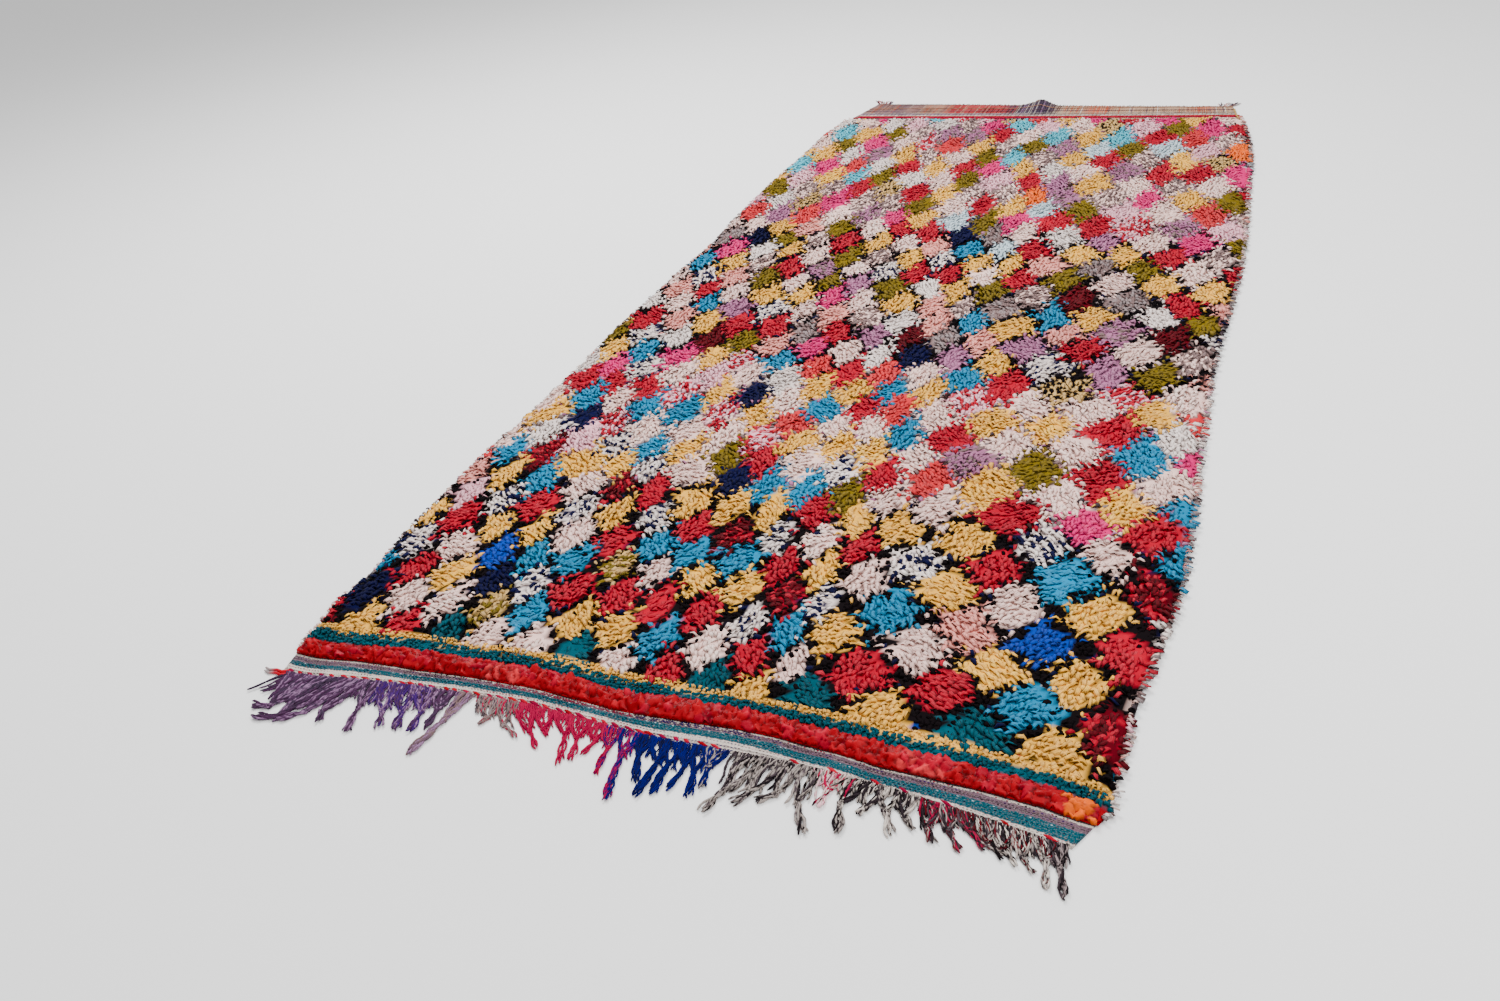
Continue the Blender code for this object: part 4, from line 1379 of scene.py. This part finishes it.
def make_sprig(name, node, middle, lean, length, material):
    """Loose warp ends at a far corner."""
    heap = Heap()
    dyes = ("taupe", "brown", "brick", "cream", "dusk")
    for share in np.linspace(-0.5, 0.5, 9):
        across = middle + share * 0.03
        start = (across, float(far_hem(across)) - 0.002)
        end = (across + lean + share * 0.035, start[1] + length * dice.uniform(0.6, 1.02))
        for side in (-0.0009, 0.0009):
            path = strand_path((start[0] + side, start[1]), (end[0] + side, end[1]), dice.uniform(-0.006, 0.006),
                               0.0016, 0.005, 0.001)
            taper = np.full(len(path), 0.0011)
            taper[-1] = 0.0005
            tube(heap, path, taper, linear(dyes[dice.integers(0, len(dyes))]), 5)
    return dress(heap.piece(name, True), material, "warp_yarn", node)


def on_cloth(across, along, above):
    """Places on the cloth's top, lifted by above."""
    height = CLOTH_THICKNESS + fold_lift(across, along) + above
    return np.stack([across, along, height], 1)


# Other dyes among the cords of a stretch
STRAYS = {
    "umber": ("straw", "taupe", "mauve_grey", "rust"),
    "mauve_grey": ("lilac_yarn", "umber", "ply_grey"),
    "brick": ("maroon", "umber", "straw", "maroon"),
    "dusk": ("ply_grey", "lilac_yarn", "mauve_grey"),
    "straw": ("umber", "taupe", "rust", "mauve_grey", "bone"),
}


def make_weave_cords(material):
    """Cords of the far end: warp ribs, the red twined line, a pale line, the hem threads."""
    heap = Heap()
    dyes = (
        (-0.50, "umber"), (-0.42, "mauve_grey"), (-0.32, "umber"), (-0.10, "brick"), (0.05, "dusk"),
        (0.70, "straw"),
    )
    for across in np.arange(-0.590, 0.560, 0.0066):
        name = next(dye for end, dye in dyes if across < end)
        if dice.random() < 0.34:
            name = STRAYS[name][dice.integers(0, len(STRAYS[name]))]
        end = float(far_hem(across * 0.97)) - 0.004
        along = np.linspace(float(pile_end(across)) + 0.004, end, 7)
        path = on_cloth(np.linspace(across, across * 0.965 - 0.001, 7), along, -0.0006)
        tube(heap, path, 0.0015, linear(name) * dice.uniform(0.6, 1.15), 4)
    for beyond, name, radius, start, end in (
        (0.036, "raspberry", 0.0024, -0.615, 0.585),
        (0.042, "red", 0.0026, -0.600, 0.585),
        (0.048, "brick", 0.0022, -0.600, 0.580),
        (0.058, "bone", 0.0022, -0.600, 0.575),
        (0.065, "ply_grey", 0.0022, -0.600, 0.575),
        (0.073, "lilac_yarn", 0.0018, -0.600, -0.05),
        (0.081, "ply_grey", 0.0014, -0.600, 0.570),
        (0.108, "mauve_grey", 0.0013, -0.595, 0.565),
        (0.135, "umber", 0.0016, -0.590, 0.560),
    ):
        for place in np.arange(start, end, 0.012):
            across = np.array([place - 0.006, place - 0.002, place + 0.002, place + 0.006])
            along = pile_end(across) + beyond + np.array([-0.0012, -0.0004, 0.0004, 0.0012])
            along = np.minimum(along + dice.uniform(-0.0008, 0.0008), far_hem(across) - 0.003)
            taper = np.array([0.5, 1.0, 1.0, 0.5]) * radius
            tube(heap, on_cloth(across, along, 0.0008), taper, linear(name) * dice.uniform(0.5, 1.0), 4)
    for place in np.arange(-0.576, 0.552, 0.0045):
        hem = float(far_hem(place))
        steps = np.linspace(0, 1, 4)
        across = place + steps * dice.uniform(-0.006, 0.006)
        along = hem - 0.006 + steps * dice.uniform(0.007, 0.014)
        path = np.stack([across, along, CLOTH_THICKNESS * 0.9 + fold_lift(across, np.minimum(along, hem))], 1)
        name = ("ply_grey", "taupe", "umber", "charcoal")[dice.integers(0, 4)]
        tube(heap, path, np.array([1.0, 1.0, 0.9, 0.5]) * 0.0010, linear(name) * dice.uniform(0.7, 1.1), 4)
    for place in np.arange(2.52, 3.00, 0.010):
        along = np.array([place - 0.006, place, place + 0.006])
        across = right_edge(along) + 0.001 + dice.uniform(-0.0008, 0.0008)
        path = np.stack([across, along, np.array([0.0035, 0.0050, 0.0035])], 1)
        tube(heap, path, np.array([0.5, 1.0, 0.5]) * 0.0034, linear("tan") * dice.uniform(0.5, 0.8), 5)
    return dress(heap.piece("weave_cords", True), material, "ground_weave", "ground_cloth")


def make_twining(material):
    """Stitches on the near flat end: slanted red dashes, pale dots on the teal, a dotted line."""
    heap = Heap()
    for place in np.arange(NEAR_HEM[0][0] + 0.012, 0.60, 0.020):
        if (place < 0.10 and dice.random() < 0.9) or dice.random() < 0.25:
            reach = dice.uniform(0.0050, 0.0100)
            across = place + dice.uniform(-0.004, 0.004) + np.array([-1.0, -0.3, 0.2, 0.6, 1.0]) * reach * 1.1
            along = near_hem(across) + 0.0055 + np.array([0.0030, 0.0012, -0.0010, -0.0022, -0.0016])
            name = ("scarlet", "red", "raspberry")[dice.integers(0, 3)]
            tube(heap, on_cloth(across, along, -0.0006), np.array([0.3, 1.0, 1.1, 0.7, 0.3]) * dice.uniform(0.0024, 0.0034),
                 linear(name) * dice.uniform(0.6, 1.1), 6)
    rows = (
        (0.0125, 0.0070, ("teal", "teal", "navy", "grey", "taupe"), 0.0009),
        (0.0160, 0.0070, ("teal", "teal", "teal", "navy"), 0.0010),
        (0.0195, 0.0070, ("teal", "teal", "light_blue", "mauve_grey"), 0.0009),
        (0.0250, 0.0055, ("mauve_grey", "lilac_yarn", "charcoal", "grey"), 0.0010),
        (0.0320, 0.0055, ("violet", "taupe", "mauve_grey", "dark_grey"), 0.0010),
        (0.0395, 0.0050, ("bone", "cream", "bone", "raspberry", "dark_grey"), 0.0010),
        (0.0018, 0.0055, ("bone", "charcoal", "taupe", "raspberry"), 0.0009),
        (0.0045, 0.0055, ("bone", "charcoal", "dark_grey", "bone"), 0.0009),
        (0.0078, 0.0055, ("bone", "taupe", "grey", "pink"), 0.0009),
    )
    for number, (distance, gap, dyes, radius) in enumerate(rows):
        for place in np.arange(NEAR_HEM[0][0] + 0.004, 0.615, gap):
            across = place + gap * 0.5 * (number % 2) + np.array([-0.0016, 0.0, 0.0016])
            along = stripe_place(across, distance) + dice.uniform(-0.0006, 0.0006)
            own = dyes
            if -0.28 < place < -0.03 and (distance < 0.010 or distance > 0.022):
                own = ("raspberry", "raspberry", "bone", "mauve_grey")
            elif -0.03 <= place < 0.15 and (distance < 0.010 or distance > 0.022):
                own = ("ultramarine", "ultramarine", "bone", "mauve_grey")
            dye = linear(own[dice.integers(0, len(own))]) * dice.uniform(0.8, 1.1)
            tube(heap, on_cloth(across, along, -0.0001), np.array([0.4, 1.0, 0.4]) * radius, dye, 4)
    return dress(heap.piece("hem_stitches", True), material, "ground_weave", "ground_cloth")


def make_tail(material):
    """The red rag end that pokes out at the near left corner."""
    heap = Heap()
    path = np.array([
        (-0.628, -0.001, 0.0040),
        (-0.640, -0.006, 0.0034),
        (-0.652, -0.004, 0.0030),
        (-0.664, -0.007, 0.0028),
        (-0.675, -0.004, 0.0026),
    ])
    dye = np.array([linear(name) for name in ("red", "scarlet", "red", "grey", "grey")])
    tube(heap, path, np.array([0.0026, 0.0030, 0.0026, 0.0024, 0.0016]), dye, 7)
    tube(heap, path + np.array([0.002, -0.006, -0.0006]), np.array([0.0020, 0.0026, 0.0022, 0.0020, 0.0012]), dye, 7)
    return dress(heap.piece("corner_rag", True), material, "ground_weave", "ground_cloth")


# Making everything


def make_camera():
    """Camera at the photograph's place and angle."""
    pitch = math.radians(CAMERA_PITCH)
    yaw = math.radians(CAMERA_YAW)
    roll = math.radians(CAMERA_ROLL)
    ahead = Vector((math.sin(yaw) * math.cos(pitch), math.cos(yaw) * math.cos(pitch), -math.sin(pitch)))
    level = Vector((math.cos(yaw), -math.sin(yaw), 0.0))
    upright = level.cross(ahead)
    right = level * math.cos(roll) + upright * math.sin(roll)
    up = upright * math.cos(roll) - level * math.sin(roll)
    data = bpy.data.cameras.new("camera")
    data.sensor_fit = "HORIZONTAL"
    data.sensor_width = SENSOR_WIDTH
    data.lens = CAMERA_FOCUS_PX / PHOTO_WIDTH_PX * SENSOR_WIDTH
    data.clip_end = 50.0
    camera = bpy.data.objects.new("camera", data)
    place = Vector(CAMERA_PLACE) * WIDTH + Vector(PLACE)
    turned = Matrix((right, up, -ahead)).transposed()
    camera.matrix_world = Matrix.Translation(place) @ turned.to_4x4()
    bpy.context.scene.collection.objects.link(camera)
    bpy.context.scene.camera = camera


def make_studio():
    """Pale floor and soft light from above."""
    shape = bmesh.new()
    bmesh.ops.create_grid(shape, x_segments=1, y_segments=1, size=14.0)
    mesh = bpy.data.meshes.new("floor")
    shape.to_mesh(mesh)
    shape.free()
    floor = bpy.data.objects.new("floor", mesh)
    floor.location = (0, 0, -0.0006)
    bpy.context.scene.collection.objects.link(floor)
    material = bpy.data.materials.new("floor")
    material.use_nodes = True
    shader = material.node_tree.nodes["Principled BSDF"]
    shader.inputs["Base Color"].default_value = (0.95, 0.95, 0.95, 1)
    shader.inputs["Roughness"].default_value = 0.9
    shader.inputs["Specular IOR Level"].default_value = 0.1
    mesh.materials.append(material)
    world = bpy.data.worlds.new("studio")
    world.use_nodes = True
    sky = world.node_tree.nodes["Background"]
    sky.inputs["Color"].default_value = (1.0, 1.0, 1.0, 1)
    sky.inputs["Strength"].default_value = 0.74
    bpy.context.scene.world = world
    for place, size, power in (((-1.4, 1.0, 3.2), 2.0, 190.0), ((1.6, -1.4, 3.0), 2.6, 105.0)):
        lamp = bpy.data.lights.new("soft", "AREA")
        lamp.size = size
        lamp.energy = power
        light = bpy.data.objects.new("soft", lamp)
        light.location = place
        aim = Vector((0, 0, 0)) - Vector(place)
        light.rotation_euler = aim.to_track_quat("-Z", "Y").to_euler()
        bpy.context.scene.collection.objects.link(light)


make_camera()
make_studio()

materials = {
    "rags_red": fibre_material("cotton_red", roughness=0.70, crease_shading=0.28),
    "rags_cream": fibre_material("cotton_cream", roughness=0.88, crease_shading=0.20),
    "rags_yellow": fibre_material("crepe_yellow", roughness=0.85, crease_shading=0.26),
    "rags_blue": fibre_material("cotton_blue", roughness=0.74, crease_shading=0.28),
    "rags_pink": fibre_material("cotton_pink", roughness=0.85, crease_shading=0.24),
    "rags_dark": fibre_material("wool_dark", roughness=0.95, sheen=0.0, crease_shading=0.2),
}
bed_material = fibre_material("rag_roots", roughness=0.95, sheen=0.0)
satin = fibre_material("satin_rag", roughness=0.34, sheen=0.0, bump=0.25, fleck=0.10, grain=420.0)
selvedge_material = fibre_material("weft_rags", roughness=0.9, crease_shading=0.25)
yarn = fibre_material("plied_yarn", roughness=0.95, grain=1500.0, fleck=0.35, bump=0.7)

cloth = make_cloth(cloth_material())
pieces = [make_bed(bed_material)]
pieces += make_rags(materials)
pieces.append(make_band(satin))
pieces.append(make_selvedges(selvedge_material))
for row in FRINGES:
    pieces.append(make_fringe(*row, yarn))
pieces.append(make_sprig("warp_ends_left", "sprig_left", -0.560, -0.012, 0.055, yarn))
pieces.append(make_sprig("warp_ends_right", "sprig_right", 0.530, 0.012, 0.045, yarn))
pieces.append(make_twining(yarn))
pieces.append(make_weave_cords(yarn))
pieces.append(make_tail(satin))
